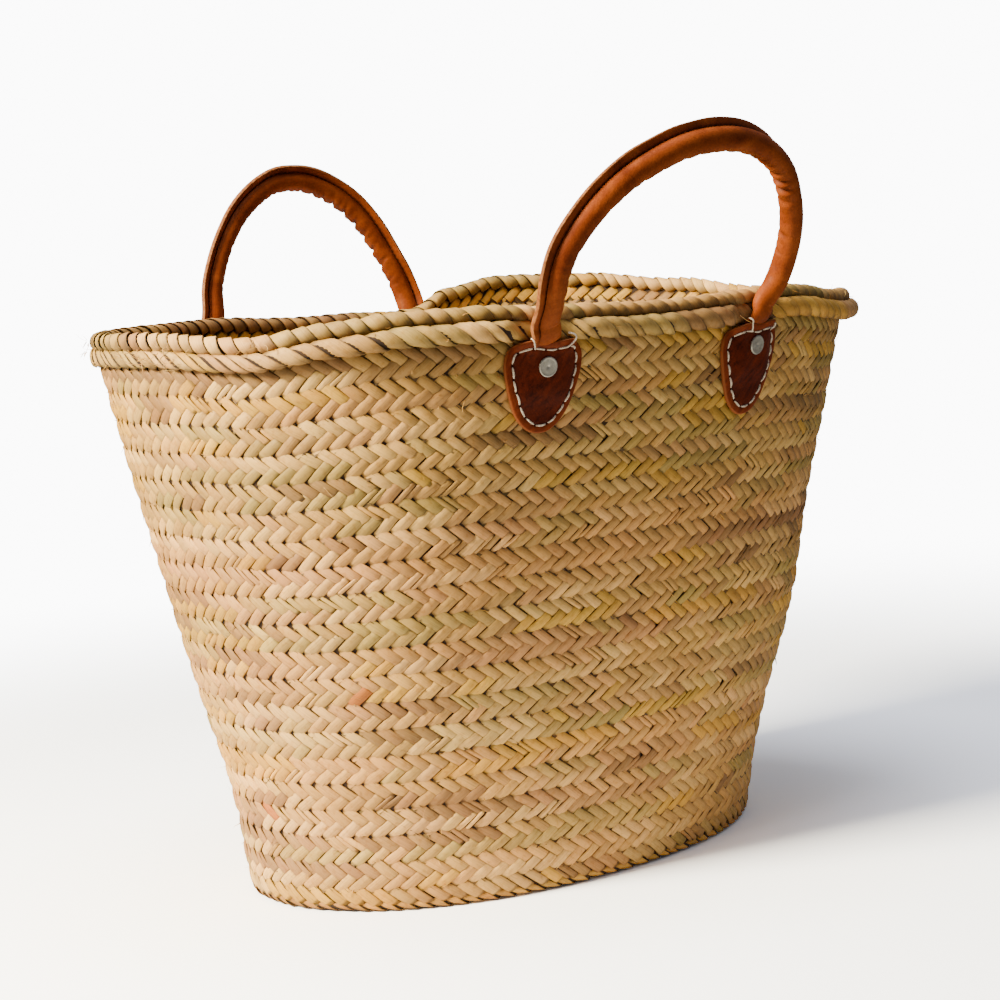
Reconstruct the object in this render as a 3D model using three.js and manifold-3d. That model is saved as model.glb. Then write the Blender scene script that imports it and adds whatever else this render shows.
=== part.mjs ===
// A plaited straw basket bag with two rolled leather handles, in millimetres.
// +X runs along the basket's length, -Y is its front, +Z is up.
// The origin is the middle of the base's underside.
import * as THREE from "three";
import { mergeVertices } from "three/addons/utils/BufferGeometryUtils.js";
import Module from "manifold-3d";

const wasm = await Module();
wasm.setup();

// The basket, measured on the outside of its wall
const basketHeight = 300; // floor to the top of the rim roll
const rimLength = 435; // along X, under the rolls
const rimWidth = 295; // along Y, under the rolls
const baseLength = 318;
const baseWidth = 206;
const rimShift = 7.5; // the soft wall has settled this far towards +X at the rim
const wallThickness = 3;
const plaitRow = 14; // height of one sewn plait row
const ribDepth = 0.9; // how far the joints between two rows lie back
const baseThickness = 4.5;
const baseInset = 0.8; // how far the base's edge row lies back from the wall
const topRollRadius = 4;
const outerRollRadius = 4.5;

// The handles, their tabs and rivets
const frontRise = 89; // from the foot of the arch to its crown, along its lean
const frontHalfSpread = 77; // half the width of the arch
const frontCentre = -2; // place of the arch along X
const backRise = 84;
const backHalfSpread = 69;
const backCentre = -1;
const tubeRadius = 6;
const flangeWidth = 5; // the sewn edge outside the tube
const flangeThickness = 2.6;
const tongueLength = 17; // the tube's flattened end, under the tab
const tongueHalfWidth = 8;
const tongueThickness = 3;
const tabWidth = 44;
const tabHeight = 46;
const tabThickness = 2.2;
const tabDrop = 2; // from the underside of the outer roll down to the tab
const rivetDrop = 10.5; // from the tab's top edge down to the rivet
const rivetHeadRadius = 5;
const rivetHeadHeight = 1.2;
const rivetPostRadius = 1.9;
const clearance = 0.3; // between pieces that touch
const dentDepth = 10; // the deepest push in the soft wall
const pinchReach = 24; // along the rim, how far a handle squeezes the outer roll to each side
const pinchShare = 0.6; // of the outer roll's radius

// The two handles: where they stand, how far they lean out, how wide and high their arches are
const handles = [
  {
    name: "front",
    side: -1,
    centre: frontCentre,
    lean: 28,
    halfSpread: frontHalfSpread,
    rise: frontRise,
    footShare: 0.9,
  },
  {
    name: "back",
    side: 1,
    centre: backCentre,
    lean: 10,
    halfSpread: backHalfSpread,
    rise: backRise,
    footShare: 1,
  },
];

// How finely the soft shapes are divided
const turns = 48; // steps round the basket
const rollSides = 8;
const handleSteps = 32;
const tubeSides = 8;

// Columns: height share, flare share (0 at the base, 1 at the rim), roundness of the oval (2 is an ellipse)
const flareTable = [
  [0, 0, 2.1],
  [0.05, 0.045, 2.12],
  [0.13, 0.085, 2.14],
  [0.22, 0.165, 2.2],
  [0.35, 0.33, 2.28],
  [0.5, 0.5, 2.34],
  [0.75, 0.76, 2.42],
  [1, 1, 2.47],
];

// Columns: degrees round the rim from +X, lift of the rim as a share of the basket's height
const rimWave = [
  [0, -0.024],
  [20, 0],
  [45, 0.024],
  [62, 0.032],
  [72, 0.016],
  [80, -0.022],
  [92, -0.016],
  [110, -0.002],
  [145, 0],
  [180, 0.002],
  [205, -0.012],
  [220, 0.004],
  [232, 0.013],
  [244, 0.011],
  [256, 0.002],
  [270, -0.007],
  [288, -0.002],
  [312, -0.027],
  [340, -0.034],
  [360, -0.024],
];

// Columns: degrees round, height share, reach in degrees, reach in height share, depth share (plus is outwards)
const dents = [
  [80, 0.95, 16, 0.42, -1],
  [56, 0.95, 22, 0.4, 0.45],
  [318, 0.42, 30, 0.13, 0.22],
  [300, 0.62, 26, 0.16, -0.22],
  [196, 0.2, 40, 0.16, -0.3],
  [330, 0.03, 36, 0.12, -0.3],
  [352, 0.8, 20, 0.3, 0.2],
  [236, 0.72, 24, 0.22, 0.14],
  [130, 0.5, 30, 0.25, -0.25],
];

// Columns: place across as a share of the half spread, height as a share of the rise
const archTables = {
  front: [
    [-0.94, 0.123],
    [-0.98, 0.278],
    [-0.99, 0.427],
    [-0.87, 0.618],
    [-0.68, 0.799],
    [-0.5, 0.884],
    [-0.2, 0.975],
    [0.03, 1],
    [0.25, 0.99],
    [0.5, 0.916],
    [0.7, 0.788],
    [0.83, 0.639],
    [0.92, 0.512],
    [0.99, 0.32],
    [0.985, 0.123],
  ],
  back: [
    [-0.985, 0.12],
    [-0.95, 0.289],
    [-0.87, 0.447],
    [-0.72, 0.648],
    [-0.51, 0.833],
    [-0.2, 0.98],
    [0, 1],
    [0.17, 0.985],
    [0.43, 0.891],
    [0.61, 0.775],
    [0.73, 0.648],
    [0.86, 0.453],
    [0.95, 0.278],
    [0.995, 0.12],
  ],
};

// Columns: place along the arch (0 at the left foot, 1 at the right), degrees that the sewn edge is
// turned from the outside of the arch towards the inside of the basket
const flangeTurns = [
  [0, 0],
  [0.24, 6],
  [0.34, 30],
  [0.55, 50],
  [0.68, 72],
  [0.76, 40],
  [0.84, 10],
  [1, 0],
];

// The tab's outline. Columns: share of the way down, half width as a share of half the tab's width,
// sideways drift as a share of the tab's width
const tabOutline = [
  [0, 0.5, 0.02],
  [0.045, 0.78, 0.02],
  [0.13, 0.95, 0.01],
  [0.27, 1, 0],
  [0.45, 0.91, -0.01],
  [0.63, 0.76, -0.03],
  [0.8, 0.58, -0.055],
  [0.92, 0.38, -0.07],
  [1, 0.13, -0.08],
];

const degrees = Math.PI / 180;
const mix = (a, b, t) => a + (b - a) * t;
const ease = (t) => t * t * (3 - 2 * t);

// Reads a column of a table at a place, by straight lines between its rows
function lookUp(rows, at, column = 1) {
  if (at <= rows[0][0]) return rows[0][column];
  for (let i = 1; i < rows.length; i++) {
    const [before, after] = [rows[i - 1], rows[i]];
    if (at <= after[0])
      return mix(
        before[column],
        after[column],
        (at - before[0]) / (after[0] - before[0]),
      );
  }
  return rows[rows.length - 1][column];
}

// The same with eased steps, for soft waves
function lookUpSoft(rows, at) {
  for (let i = 1; i < rows.length; i++) {
    const [before, after] = [rows[i - 1], rows[i]];
    if (at <= after[0])
      return mix(
        before[1],
        after[1],
        ease((at - before[0]) / (after[0] - before[0])),
      );
  }
  return rows[rows.length - 1][1];
}

// The wall's outer surface

const around = (turn) => ((turn % 360) + 360) % 360;

// How far the soft wall is pushed in or out
function push(turn, share) {
  let sum = 0;
  for (const [at, height, reach, heightReach, depth] of dents) {
    let away = Math.abs(around(turn) - at);
    away = Math.min(away, 360 - away) / reach;
    const up = (share - height) / heightReach;
    sum += depth * dentDepth * Math.exp(-(away * away + up * up));
  }
  return sum;
}

function halfSizes(share) {
  const flare = lookUp(flareTable, share);
  return {
    a: mix(baseLength, rimLength, flare) / 2,
    b: mix(baseWidth, rimWidth, flare) / 2,
    roundness: lookUp(flareTable, share, 2),
    shift: rimShift * flare,
  };
}

// A point of the wall: degrees round, height before the rim's wave, and distance out from the surface
function wallPoint(turn, height, out = 0) {
  const share = height / basketHeight;
  const { a, b, roundness, shift } = halfSizes(Math.min(Math.max(share, 0), 1));
  const c = Math.cos(turn * degrees);
  const s = Math.sin(turn * degrees);
  const power = 2 / roundness;
  const normal = new THREE.Vector2(
    (Math.sign(c) * Math.abs(c) ** (2 - power)) / a,
    (Math.sign(s) * Math.abs(s) ** (2 - power)) / b,
  ).normalize();
  const reach = out + push(turn, share);
  const lift = lookUpSoft(rimWave, around(turn)) * basketHeight;
  return new THREE.Vector3(
    a * Math.sign(c) * Math.abs(c) ** power + normal.x * reach + shift,
    b * Math.sign(s) * Math.abs(s) ** power + normal.y * reach,
    height + lift * Math.max(share, 0) ** 3,
  );
}

// The same on the flat facets between two steps round, which is where the tabs and handles lie
function facetPoint(turn, height, out = 0) {
  const step = 360 / turns;
  const before = Math.floor(turn / step);
  const smooth = wallPoint(turn, height);
  const outward = wallPoint(turn, height, 1).sub(smooth);
  return wallPoint(before * step, height)
    .lerp(wallPoint((before + 1) * step, height), turn / step - before)
    .addScaledVector(outward, out);
}

// The degrees round at which the front or back wall passes a place along X
function turnAt(x, height, side) {
  const { a, roundness, shift } = halfSizes(height / basketHeight);
  const share = (x - shift) / a;
  const c = Math.sign(share) * Math.abs(share) ** (roundness / 2);
  return side < 0 ? 360 - Math.acos(c) / degrees : Math.acos(c) / degrees;
}

// Closed meshes from rings of points

// Joins rings of equal length, one after the other. A closed sweep joins the last ring to the first,
// an open one gets a fan over each end.
function sweep(rings, closed) {
  const count = rings[0].length;
  const points = rings.flat();
  const faces = [];
  const quads = closed ? rings.length : rings.length - 1;
  for (let i = 0; i < quads; i++) {
    const next = (i + 1) % rings.length;
    for (let k = 0; k < count; k++) {
      const a = i * count + k;
      const b = i * count + ((k + 1) % count);
      const c = next * count + ((k + 1) % count);
      const d = next * count + k;
      faces.push(a, b, c, a, c, d);
    }
  }
  if (!closed)
    for (const [ring, flip] of [
      [0, true],
      [rings.length - 1, false],
    ]) {
      const middle = rings[ring]
        .reduce((sum, p) => sum.add(p), new THREE.Vector3())
        .divideScalar(count);
      points.push(middle);
      for (let k = 0; k < count; k++) {
        const a = ring * count + k;
        const b = ring * count + ((k + 1) % count);
        faces.push(points.length - 1, ...(flip ? [b, a] : [a, b]));
      }
    }
  const geometry = new THREE.BufferGeometry().setFromPoints(points);
  geometry.setIndex(faces);
  return volumeOf(geometry) < 0 ? turnedOut(geometry) : geometry;
}

// Signed volume of a closed mesh
function volumeOf(geometry) {
  const position = geometry.getAttribute("position");
  const corner = [0, 1, 2].map(() => new THREE.Vector3());
  let sum = 0;
  for (let i = 0; i < geometry.index.count; i += 3) {
    corner.forEach((p, k) =>
      p.fromBufferAttribute(position, geometry.index.getX(i + k)),
    );
    sum += corner[0].dot(corner[1].clone().cross(corner[2])) / 6;
  }
  return sum;
}

function turnedOut(geometry) {
  const index = Array.from(geometry.index.array);
  for (let i = 0; i < index.length; i += 3)
    [index[i + 1], index[i + 2]] = [index[i + 2], index[i + 1]];
  geometry.setIndex(index);
  return geometry;
}

function solidOf(geometry) {
  const bare = geometry.clone();
  bare.deleteAttribute("normal");
  bare.deleteAttribute("uv");
  const merged = mergeVertices(bare);
  return new wasm.Manifold(
    new wasm.Mesh({
      numProp: 3,
      vertProperties: merged.getAttribute("position").array,
      triVerts: new Uint32Array(merged.index.array),
    }),
  );
}

function geometryOf(solid) {
  const mesh = solid.getMesh();
  return new THREE.BufferGeometry()
    .setAttribute(
      "position",
      new THREE.BufferAttribute(new Float32Array(mesh.vertProperties), 3),
    )
    .setIndex(Array.from(mesh.triVerts));
}

const bag = new THREE.Group();

function add(name, geometry, material) {
  const flat = geometry.index ? geometry.toNonIndexed() : geometry;
  flat.computeVertexNormals();
  const mesh = new THREE.Mesh(flat, material);
  mesh.name = name;
  bag.add(mesh);
  return mesh;
}

const straw = () =>
  new THREE.MeshStandardMaterial({
    color: 0xcfae78,
    roughness: 0.75,
    metalness: 0,
  });
const saddleLeather = () =>
  new THREE.MeshStandardMaterial({
    color: 0xb0602a,
    roughness: 0.5,
    metalness: 0,
  });
const darkLeather = () =>
  new THREE.MeshStandardMaterial({
    color: 0x6e2a12,
    roughness: 0.55,
    metalness: 0,
  });
const nickel = () =>
  new THREE.MeshStandardMaterial({
    color: 0xc9c9cc,
    roughness: 0.3,
    metalness: 1,
  });

// Heights that the pieces share

const wallBottom = baseThickness + clearance;
const topRollHeight = basketHeight - topRollRadius;
const wallTop = topRollHeight - topRollRadius - clearance;
const topRollOut = -wallThickness / 2;
const outerRollOut = outerRollRadius + clearance;
const rollGap = topRollRadius + outerRollRadius + clearance;
const rollStep = outerRollOut - topRollOut;
// The wall leans in below the rim, and the outer roll with it, so it also lies that much lower
const rimLean =
  (1.25 * Math.max(rimLength - baseLength, rimWidth - baseWidth)) /
  (2 * basketHeight);
const rollDrop =
  (rimLean * rollStep +
    Math.sqrt(
      (rimLean * rollStep) ** 2 +
        (1 + rimLean ** 2) * (rollGap ** 2 - rollStep ** 2),
    )) /
  (1 + rimLean ** 2);
const outerRollHeight = topRollHeight - rollDrop;
const tabTop = outerRollHeight - outerRollRadius - tabDrop;

const ringTurns = Array.from({ length: turns }, (_, i) => (360 * i) / turns);

// Wall: up the outside by crests and joints of the plait rows, over the top, down the plain inside

const rows = Math.max(2, Math.round((wallTop - wallBottom) / plaitRow));
const rowHeight = (wallTop - wallBottom) / rows;
const wallProfile = [];
for (let row = 0; row < rows; row++) {
  wallProfile.push([wallBottom + row * rowHeight, -ribDepth]);
  wallProfile.push([wallBottom + (row + 0.5) * rowHeight, 0]);
}
wallProfile.push([wallTop, -ribDepth]);
const insideSteps = 7;
for (let i = 0; i <= insideSteps; i++)
  wallProfile.push([
    mix(wallTop, wallBottom, i / insideSteps),
    -wallThickness,
  ]);
const wallSolid = solidOf(
  sweep(
    ringTurns.map((turn) =>
      wallProfile.map(([height, out]) => wallPoint(turn, height, out)),
    ),
    true,
  ),
);

// Base: a flat oval plate with a rounded edge row

const baseRings = [
  [0, -0.55],
  [0.3, 0],
  [0.75, 0],
  [1, -0.13],
].map(([share, out]) =>
  ringTurns.map((turn) => {
    const p = wallPoint(turn, 0, out * baseThickness - baseInset);
    return new THREE.Vector3(p.x, p.y, share * baseThickness);
  }),
);
add("basket_base", sweep(baseRings, false), straw());

// Rolls along the rim. The outer one is squeezed flat behind each handle.

const feetOf = ({ centre, halfSpread, footShare }) =>
  [-1, 1].map((way) => centre + way * halfSpread * footShare);
const pinchFlat = tongueHalfWidth + 0.8 * flangeWidth;

function squeeze(x, side) {
  const handle = handles.find((each) => each.side === side);
  const away = Math.min(...feetOf(handle).map((foot) => Math.abs(x - foot)));
  return Math.min(
    Math.max((pinchReach - away) / (pinchReach - pinchFlat), 0),
    1,
  );
}

// Steps round the outer roll: the even ones, but at each handle those that shape the squeeze
const rollTurns = ringTurns.filter((turn) => {
  const p = wallPoint(turn, outerRollHeight);
  return squeeze(p.x, p.y < 0 ? -1 : 1) === 0;
});
for (const handle of handles)
  for (const foot of feetOf(handle))
    for (const away of [-pinchReach, -pinchFlat, pinchFlat, pinchReach])
      rollTurns.push(turnAt(foot + away, outerRollHeight, handle.side));
rollTurns.sort((a, b) => a - b);

function roll(steps, radiusAt, height, outAt) {
  return sweep(
    steps.map((turn) => {
      const radius = radiusAt(turn);
      const middle = facetPoint(turn, height, outAt(radius));
      const outward = wallPoint(turn, height, 1)
        .sub(wallPoint(turn, height))
        .normalize();
      return Array.from({ length: rollSides }, (_, k) => {
        const angle = ((k + 0.5) / rollSides) * 2 * Math.PI;
        return middle
          .clone()
          .addScaledVector(outward, radius * Math.cos(angle))
          .add(new THREE.Vector3(0, 0, radius * Math.sin(angle)));
      });
    }),
    true,
  );
}

function outerRadius(turn) {
  const p = wallPoint(turn, outerRollHeight);
  return (
    outerRollRadius * (1 - pinchShare * squeeze(p.x, p.y < 0 ? -1 : 1))
  );
}
add(
  "rim_top_roll",
  roll(ringTurns, () => topRollRadius, topRollHeight, () => topRollOut),
  straw(),
);
add(
  "rim_outer_roll",
  roll(rollTurns, outerRadius, outerRollHeight, (r) => r + clearance),
  straw(),
);

// The way a handle takes past the squeezed roll: its height and distance from the wall, and its half
// sizes across and through, from the end of the flattened tongue upwards

const snug = 1.2; // keeps the tube's broad back off the round of the roll
const tongueHeight = (down) => tabTop - down;
const squeezedRadius = outerRollRadius * (1 - pinchShare);

function passing(angle, through) {
  const reach = squeezedRadius + clearance + through + snug;
  return {
    height: outerRollHeight + reach * Math.sin(angle * degrees),
    out: squeezedRadius + clearance + reach * Math.cos(angle * degrees),
    through,
  };
}
const flat = tongueThickness / 2;
const footWay = [
  {
    height: tongueHeight(tongueLength),
    out: clearance + flat,
    through: flat,
    across: tongueHalfWidth * 0.8,
    flange: 0.12,
  },
  {
    height: tongueHeight(tongueLength * 0.6),
    out: clearance + flat,
    through: flat,
    across: tongueHalfWidth,
    flange: 0.12,
  },
  {
    height: tongueHeight(tongueLength * 0.25),
    out: clearance + flat * 1.25,
    through: flat * 1.1,
    across: tongueHalfWidth,
    flange: 0.2,
  },
  {
    ...passing(-76, tubeRadius * 0.36),
    across: tongueHalfWidth * 0.95,
    flange: 0.45,
  },
  {
    ...passing(-36, tubeRadius * 0.46),
    across: tubeRadius * 1.15,
    flange: 0.8,
  },
  { ...passing(4, tubeRadius * 0.62), across: tubeRadius * 1.1, flange: 1 },
  { ...passing(30, tubeRadius * 0.78), across: tubeRadius * 1.05, flange: 1 },
];

// Height and distance of the tube's outer side, which the tab covers
const tubeFront = (() => {
  const curve = new THREE.CatmullRomCurve3(
    footWay.map(({ out, height }) => new THREE.Vector3(out, height, 0)),
    false,
    "centripetal",
  );
  const front = [];
  const last = footWay.length - 1;
  for (let i = 0; i <= 40; i++) {
    const place = i / 40;
    const at = Math.min(Math.floor(place * last), last - 1);
    const half = mix(
      footWay[at].through,
      footWay[at + 1].through,
      place * last - at,
    );
    const p = curve.getPoint(place);
    const along = curve.getTangent(place);
    front.push([p.y - along.x * half, p.x + along.y * half]);
  }
  return front;
})();

function tubeCover(height) {
  let out = 0;
  for (const [at, reach] of tubeFront)
    if (at <= height + 4 * clearance) out = Math.max(out, reach);
  return out;
}

// Tabs: sheets that follow the wall and lie over the handle's flattened end

// How far the back of the tab lies off the wall, across and down from the middle of its top edge
function tabBack(across, down) {
  const beside = Math.min(
    Math.max((Math.abs(across) - tongueHalfWidth - 1) / (tabWidth / 5), 0),
    1,
  );
  const past = Math.min(
    Math.max((down - tongueLength * 1.3) / (tongueLength * 0.6), 0),
    1,
  );
  const cover = tubeCover(tongueHeight(down)) * (1 - ease(past));
  return clearance + Math.max(cover, tongueThickness * (1 - ease(past))) * (1 - ease(beside));
}

// A point over the wall, across and down from the middle of the tab's top edge
function tabPoint(foot, side, across, down, out) {
  const height = tongueHeight(down);
  return facetPoint(turnAt(foot + across, height, side), height, out);
}

function tab(foot, side) {
  const columns = [-1, -0.72, -0.4, 0, 0.4, 0.72, 1];
  const rings = tabOutline.map(([share, half, drift]) => {
    const down = share * tabHeight;
    const reach = (half * tabWidth) / 2;
    const acrossAt = (column) => column * reach + drift * tabWidth;
    const backOut = columns.map((column) => tabBack(acrossAt(column), down));
    return [
      ...columns.map((column, i) =>
        tabPoint(foot, side, acrossAt(column), down, backOut[i]),
      ),
      ...columns
        .map((column, i) =>
          tabPoint(
            foot,
            side,
            acrossAt(column) * 0.985,
            down,
            backOut[i] + tabThickness,
          ),
        )
        .reverse(),
    ];
  });
  return solidOf(sweep(rings, false));
}

// Rivets: a flat head on the tab, a post through everything, a plain cap inside the wall

function rivetFrame(foot, side) {
  const onTab = (across, down) =>
    tabPoint(
      foot,
      side,
      across,
      down,
      tabBack(across, down) + tabThickness + clearance,
    );
  const seat = onTab(0, rivetDrop);
  const rimOfHead = [0, 60, 120, 180, 240, 300].map((angle) =>
    onTab(
      rivetHeadRadius * Math.cos(angle * degrees),
      rivetDrop + rivetHeadRadius * Math.sin(angle * degrees),
    ),
  );
  const acrossWay = onTab(2, rivetDrop).sub(onTab(-2, rivetDrop));
  const downWay = onTab(0, rivetDrop + 3).sub(onTab(0, rivetDrop - 3));
  const outward = acrossWay.cross(downWay).normalize();
  if (outward.y * side < 0) outward.negate();
  // The flat head clears the highest place under its edge
  seat.addScaledVector(
    outward,
    Math.max(0, ...rimOfHead.map((p) => p.sub(seat).dot(outward))),
  );
  const inner = tabPoint(
    foot,
    side,
    0,
    rivetDrop,
    -wallThickness - clearance * 2,
  );
  return { seat, outward, reach: seat.clone().sub(inner).dot(outward) };
}

// Turned about +Y and laid along the rivet's axis
function alongRivet(profile, sides, frame) {
  const geometry = new THREE.LatheGeometry(
    profile.map(([r, y]) => new THREE.Vector2(r, y)),
    sides,
  );
  geometry.applyQuaternion(
    new THREE.Quaternion().setFromUnitVectors(
      new THREE.Vector3(0, 1, 0),
      frame.outward,
    ),
  );
  return geometry.translate(...frame.seat.toArray());
}

function rivet(frame) {
  const cap = -frame.reach;
  return alongRivet(
    [
      [0, cap - rivetHeadHeight],
      [rivetHeadRadius * 0.86, cap - rivetHeadHeight],
      [rivetHeadRadius, cap],
      [rivetPostRadius, cap],
      [rivetPostRadius, 0],
      [rivetHeadRadius, 0],
      [rivetHeadRadius * 0.9, rivetHeadHeight * 0.7],
      [0, rivetHeadHeight],
    ],
    14,
    frame,
  );
}

function rivetHole(frame) {
  const radius = rivetPostRadius + clearance;
  return solidOf(
    alongRivet(
      [
        [0, -frame.reach - wallThickness],
        [radius, -frame.reach - wallThickness],
        [radius, wallThickness],
        [0, wallThickness],
      ],
      14,
      frame,
    ),
  );
}

// Handles: a rolled tube with a sewn edge, swept up one leg, over the arch and down the other

function footSteps(foot, side) {
  return footWay.map(({ height, out, across, through, flange }) => {
    const at = (x) => facetPoint(turnAt(x, height, side), height, out);
    const along = at(foot + pinchFlat).sub(at(foot - pinchFlat));
    return {
      point: at(foot),
      inward: new THREE.Vector3(-along.y, along.x, 0).setLength(-side),
      across,
      through,
      flange,
    };
  });
}

function handleSolid(handle) {
  const { name, side, centre, lean, halfSpread, rise } = handle;
  const feet = feetOf(handle);
  const legs = feet.map((foot) => footSteps(foot, side));
  const [leftTop, rightTop] = legs.map((leg) => leg[leg.length - 1].point);
  const archFoot = leftTop.clone().lerp(rightTop, 0.5);
  const up = new THREE.Vector3(
    0,
    side * Math.sin(lean * degrees),
    Math.cos(lean * degrees),
  );
  const inward = new THREE.Vector3(
    0,
    -side * Math.cos(lean * degrees),
    Math.sin(lean * degrees),
  );
  const arch = archTables[name].map(([across, high]) => ({
    point: new THREE.Vector3(centre + across * halfSpread, archFoot.y, 0)
      .setZ(archFoot.z)
      .addScaledVector(up, high * rise),
    inward,
    across: tubeRadius,
    through: tubeRadius,
    flange: 1,
  }));
  const steps = [...legs[0], ...arch, ...legs[1].slice().reverse()];
  const curve = new THREE.CatmullRomCurve3(
    steps.map((step) => step.point),
    false,
    "centripetal",
  );
  const last = steps.length - 1;
  // Sections at every step of the feet, and evenly over the arch
  const places = [];
  const footCount = legs[0].length - 1;
  for (let i = 0; i < footCount; i++) places.push(i / last);
  for (let i = 0; i <= handleSteps; i++)
    places.push(mix(footCount, last - footCount, i / handleSteps) / last);
  for (let i = footCount - 1; i >= 0; i--) places.push((last - i) / last);

  const rings = places.map((place) => {
    const at = Math.min(Math.floor(place * last), last - 1);
    const t = place * last - at;
    const [before, after] = [steps[at], steps[at + 1]];
    const across = mix(before.across, after.across, t);
    const through = mix(before.through, after.through, t);
    const flange = mix(before.flange, after.flange, t) * flangeWidth;
    const middle = curve.getPoint(place);
    const along = curve.getTangent(place);
    const inside = before.inward.clone().lerp(after.inward, t);
    const depth = inside
      .clone()
      .addScaledVector(along, -inside.dot(along))
      .normalize();
    const outside = depth.clone().cross(along).normalize();
    if (outside.dot(middle.clone().sub(archFoot)) < 0) outside.negate();
    const tilt = lookUp(flangeTurns, place) * degrees;
    const half = Math.min(flangeThickness / 2, through * 0.8);
    const corner = Math.asin(half / Math.min(across, through));
    const section = [];
    for (let k = 0; k <= tubeSides; k++) {
      const angle = tilt + mix(corner, 2 * Math.PI - corner, k / tubeSides);
      section.push([across * Math.cos(angle), through * Math.sin(angle)]);
    }
    const size = mix(across, through, Math.sin(tilt) ** 2) + flange;
    for (const way of [-1, 1])
      section.push([
        size * Math.cos(tilt) - way * half * Math.sin(tilt),
        size * Math.sin(tilt) + way * half * Math.cos(tilt),
      ]);
    return section.map(([x, y]) =>
      middle.clone().addScaledVector(outside, x).addScaledVector(depth, y),
    );
  });
  return { solid: solidOf(sweep(rings, false)), feet };
}

let wall = wallSolid;
for (const handle of handles) {
  let { solid, feet } = handleSolid(handle);
  feet.forEach((foot, i) => {
    const place = `${handle.name}_${i ? "right" : "left"}`;
    const frame = rivetFrame(foot, handle.side);
    const hole = rivetHole(frame);
    wall = wall.subtract(hole);
    solid = solid.subtract(hole);
    add(
      `tab_${place}`,
      geometryOf(tab(foot, handle.side).subtract(hole)),
      darkLeather(),
    );
    add(`rivet_${place}`, rivet(frame), nickel());
  });
  add(`handle_${handle.name}`, geometryOf(solid), saddleLeather());
}
add("basket_wall", geometryOf(wall), straw());

export default bag;
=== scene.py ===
import bpy
import math
import numpy as np
from mathutils import Matrix, Vector


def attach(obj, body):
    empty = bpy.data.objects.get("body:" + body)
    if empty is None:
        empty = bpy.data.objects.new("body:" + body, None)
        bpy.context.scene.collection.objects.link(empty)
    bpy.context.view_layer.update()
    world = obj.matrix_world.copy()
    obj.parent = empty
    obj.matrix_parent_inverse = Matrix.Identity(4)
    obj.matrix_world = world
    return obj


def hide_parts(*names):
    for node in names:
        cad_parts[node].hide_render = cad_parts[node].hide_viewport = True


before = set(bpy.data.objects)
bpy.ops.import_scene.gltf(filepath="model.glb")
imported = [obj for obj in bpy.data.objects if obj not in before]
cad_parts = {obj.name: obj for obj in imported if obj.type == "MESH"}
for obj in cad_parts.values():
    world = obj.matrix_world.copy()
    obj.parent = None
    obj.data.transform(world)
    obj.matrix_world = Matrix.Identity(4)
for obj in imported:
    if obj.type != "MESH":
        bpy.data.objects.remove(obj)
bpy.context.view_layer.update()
bpy.ops.object.select_all(action="DESELECT")

# The basket's form: a soft oval wall that flares from the base to the rim, sewn from rows
# of plaited palm leaf. Its rim waves, and its sides have settled into shallow dents.
# Lengths are in millimetres until a mesh is made.
basket_height = 300.0
rim_length = 435.0
rim_width = 295.0
base_length = 318.0
base_width = 206.0
rim_shift = 7.5
wall_thickness = 3.0
wall_bottom = 4.8
wall_top = 291.7
plait_rows = 20
row_height = (wall_top - wall_bottom) / plait_rows
rib_depth = 0.9
dent_depth = 10.0
# Height share, flare share, roundness of the oval
flare_table = np.array([
    (0, 0, 2.1), (0.05, 0.045, 2.12), (0.13, 0.085, 2.14), (0.22, 0.165, 2.2),
    (0.35, 0.33, 2.28), (0.5, 0.5, 2.34), (0.75, 0.76, 2.42), (1, 1, 2.47),
])
# Degrees round the rim, lift as a share of the height
rim_wave = np.array([
    (0, -0.024), (20, 0), (45, 0.024), (62, 0.032), (72, 0.016), (80, -0.022), (92, -0.016),
    (110, -0.002), (145, 0), (180, 0.002), (205, -0.012), (220, 0.004), (232, 0.013),
    (244, 0.011), (256, 0.002), (270, -0.007), (288, -0.002), (312, -0.027), (340, -0.034),
    (360, -0.024),
])
# Degrees round, height share, reach in degrees, reach in height share, depth share
dents = (
    (80, 0.95, 16, 0.42, -1), (56, 0.95, 22, 0.4, 0.45), (318, 0.42, 30, 0.13, 0.22),
    (300, 0.62, 26, 0.16, -0.22), (196, 0.2, 40, 0.16, -0.3), (330, 0.03, 36, 0.12, -0.3),
    (352, 0.8, 20, 0.3, 0.2), (236, 0.72, 24, 0.22, 0.14), (130, 0.5, 30, 0.25, -0.25),
)


def wall_normal(turn, share):
    flare = np.interp(share, flare_table[:, 0], flare_table[:, 1])
    power = 2 / np.interp(share, flare_table[:, 0], flare_table[:, 2])
    a = (base_length + (rim_length - base_length) * flare) / 2
    b = (base_width + (rim_width - base_width) * flare) / 2
    c, s = np.cos(np.radians(turn)), np.sin(np.radians(turn))
    c = np.where(np.abs(c) < 1e-6, 1e-6, c)
    s = np.where(np.abs(s) < 1e-6, 1e-6, s)
    nx = np.sign(c) * np.abs(c) ** (2 - power) / a
    ny = np.sign(s) * np.abs(s) ** (2 - power) / b
    size = np.hypot(nx, ny)
    return a, b, power, c, s, nx / size, ny / size, rim_shift * flare


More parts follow.
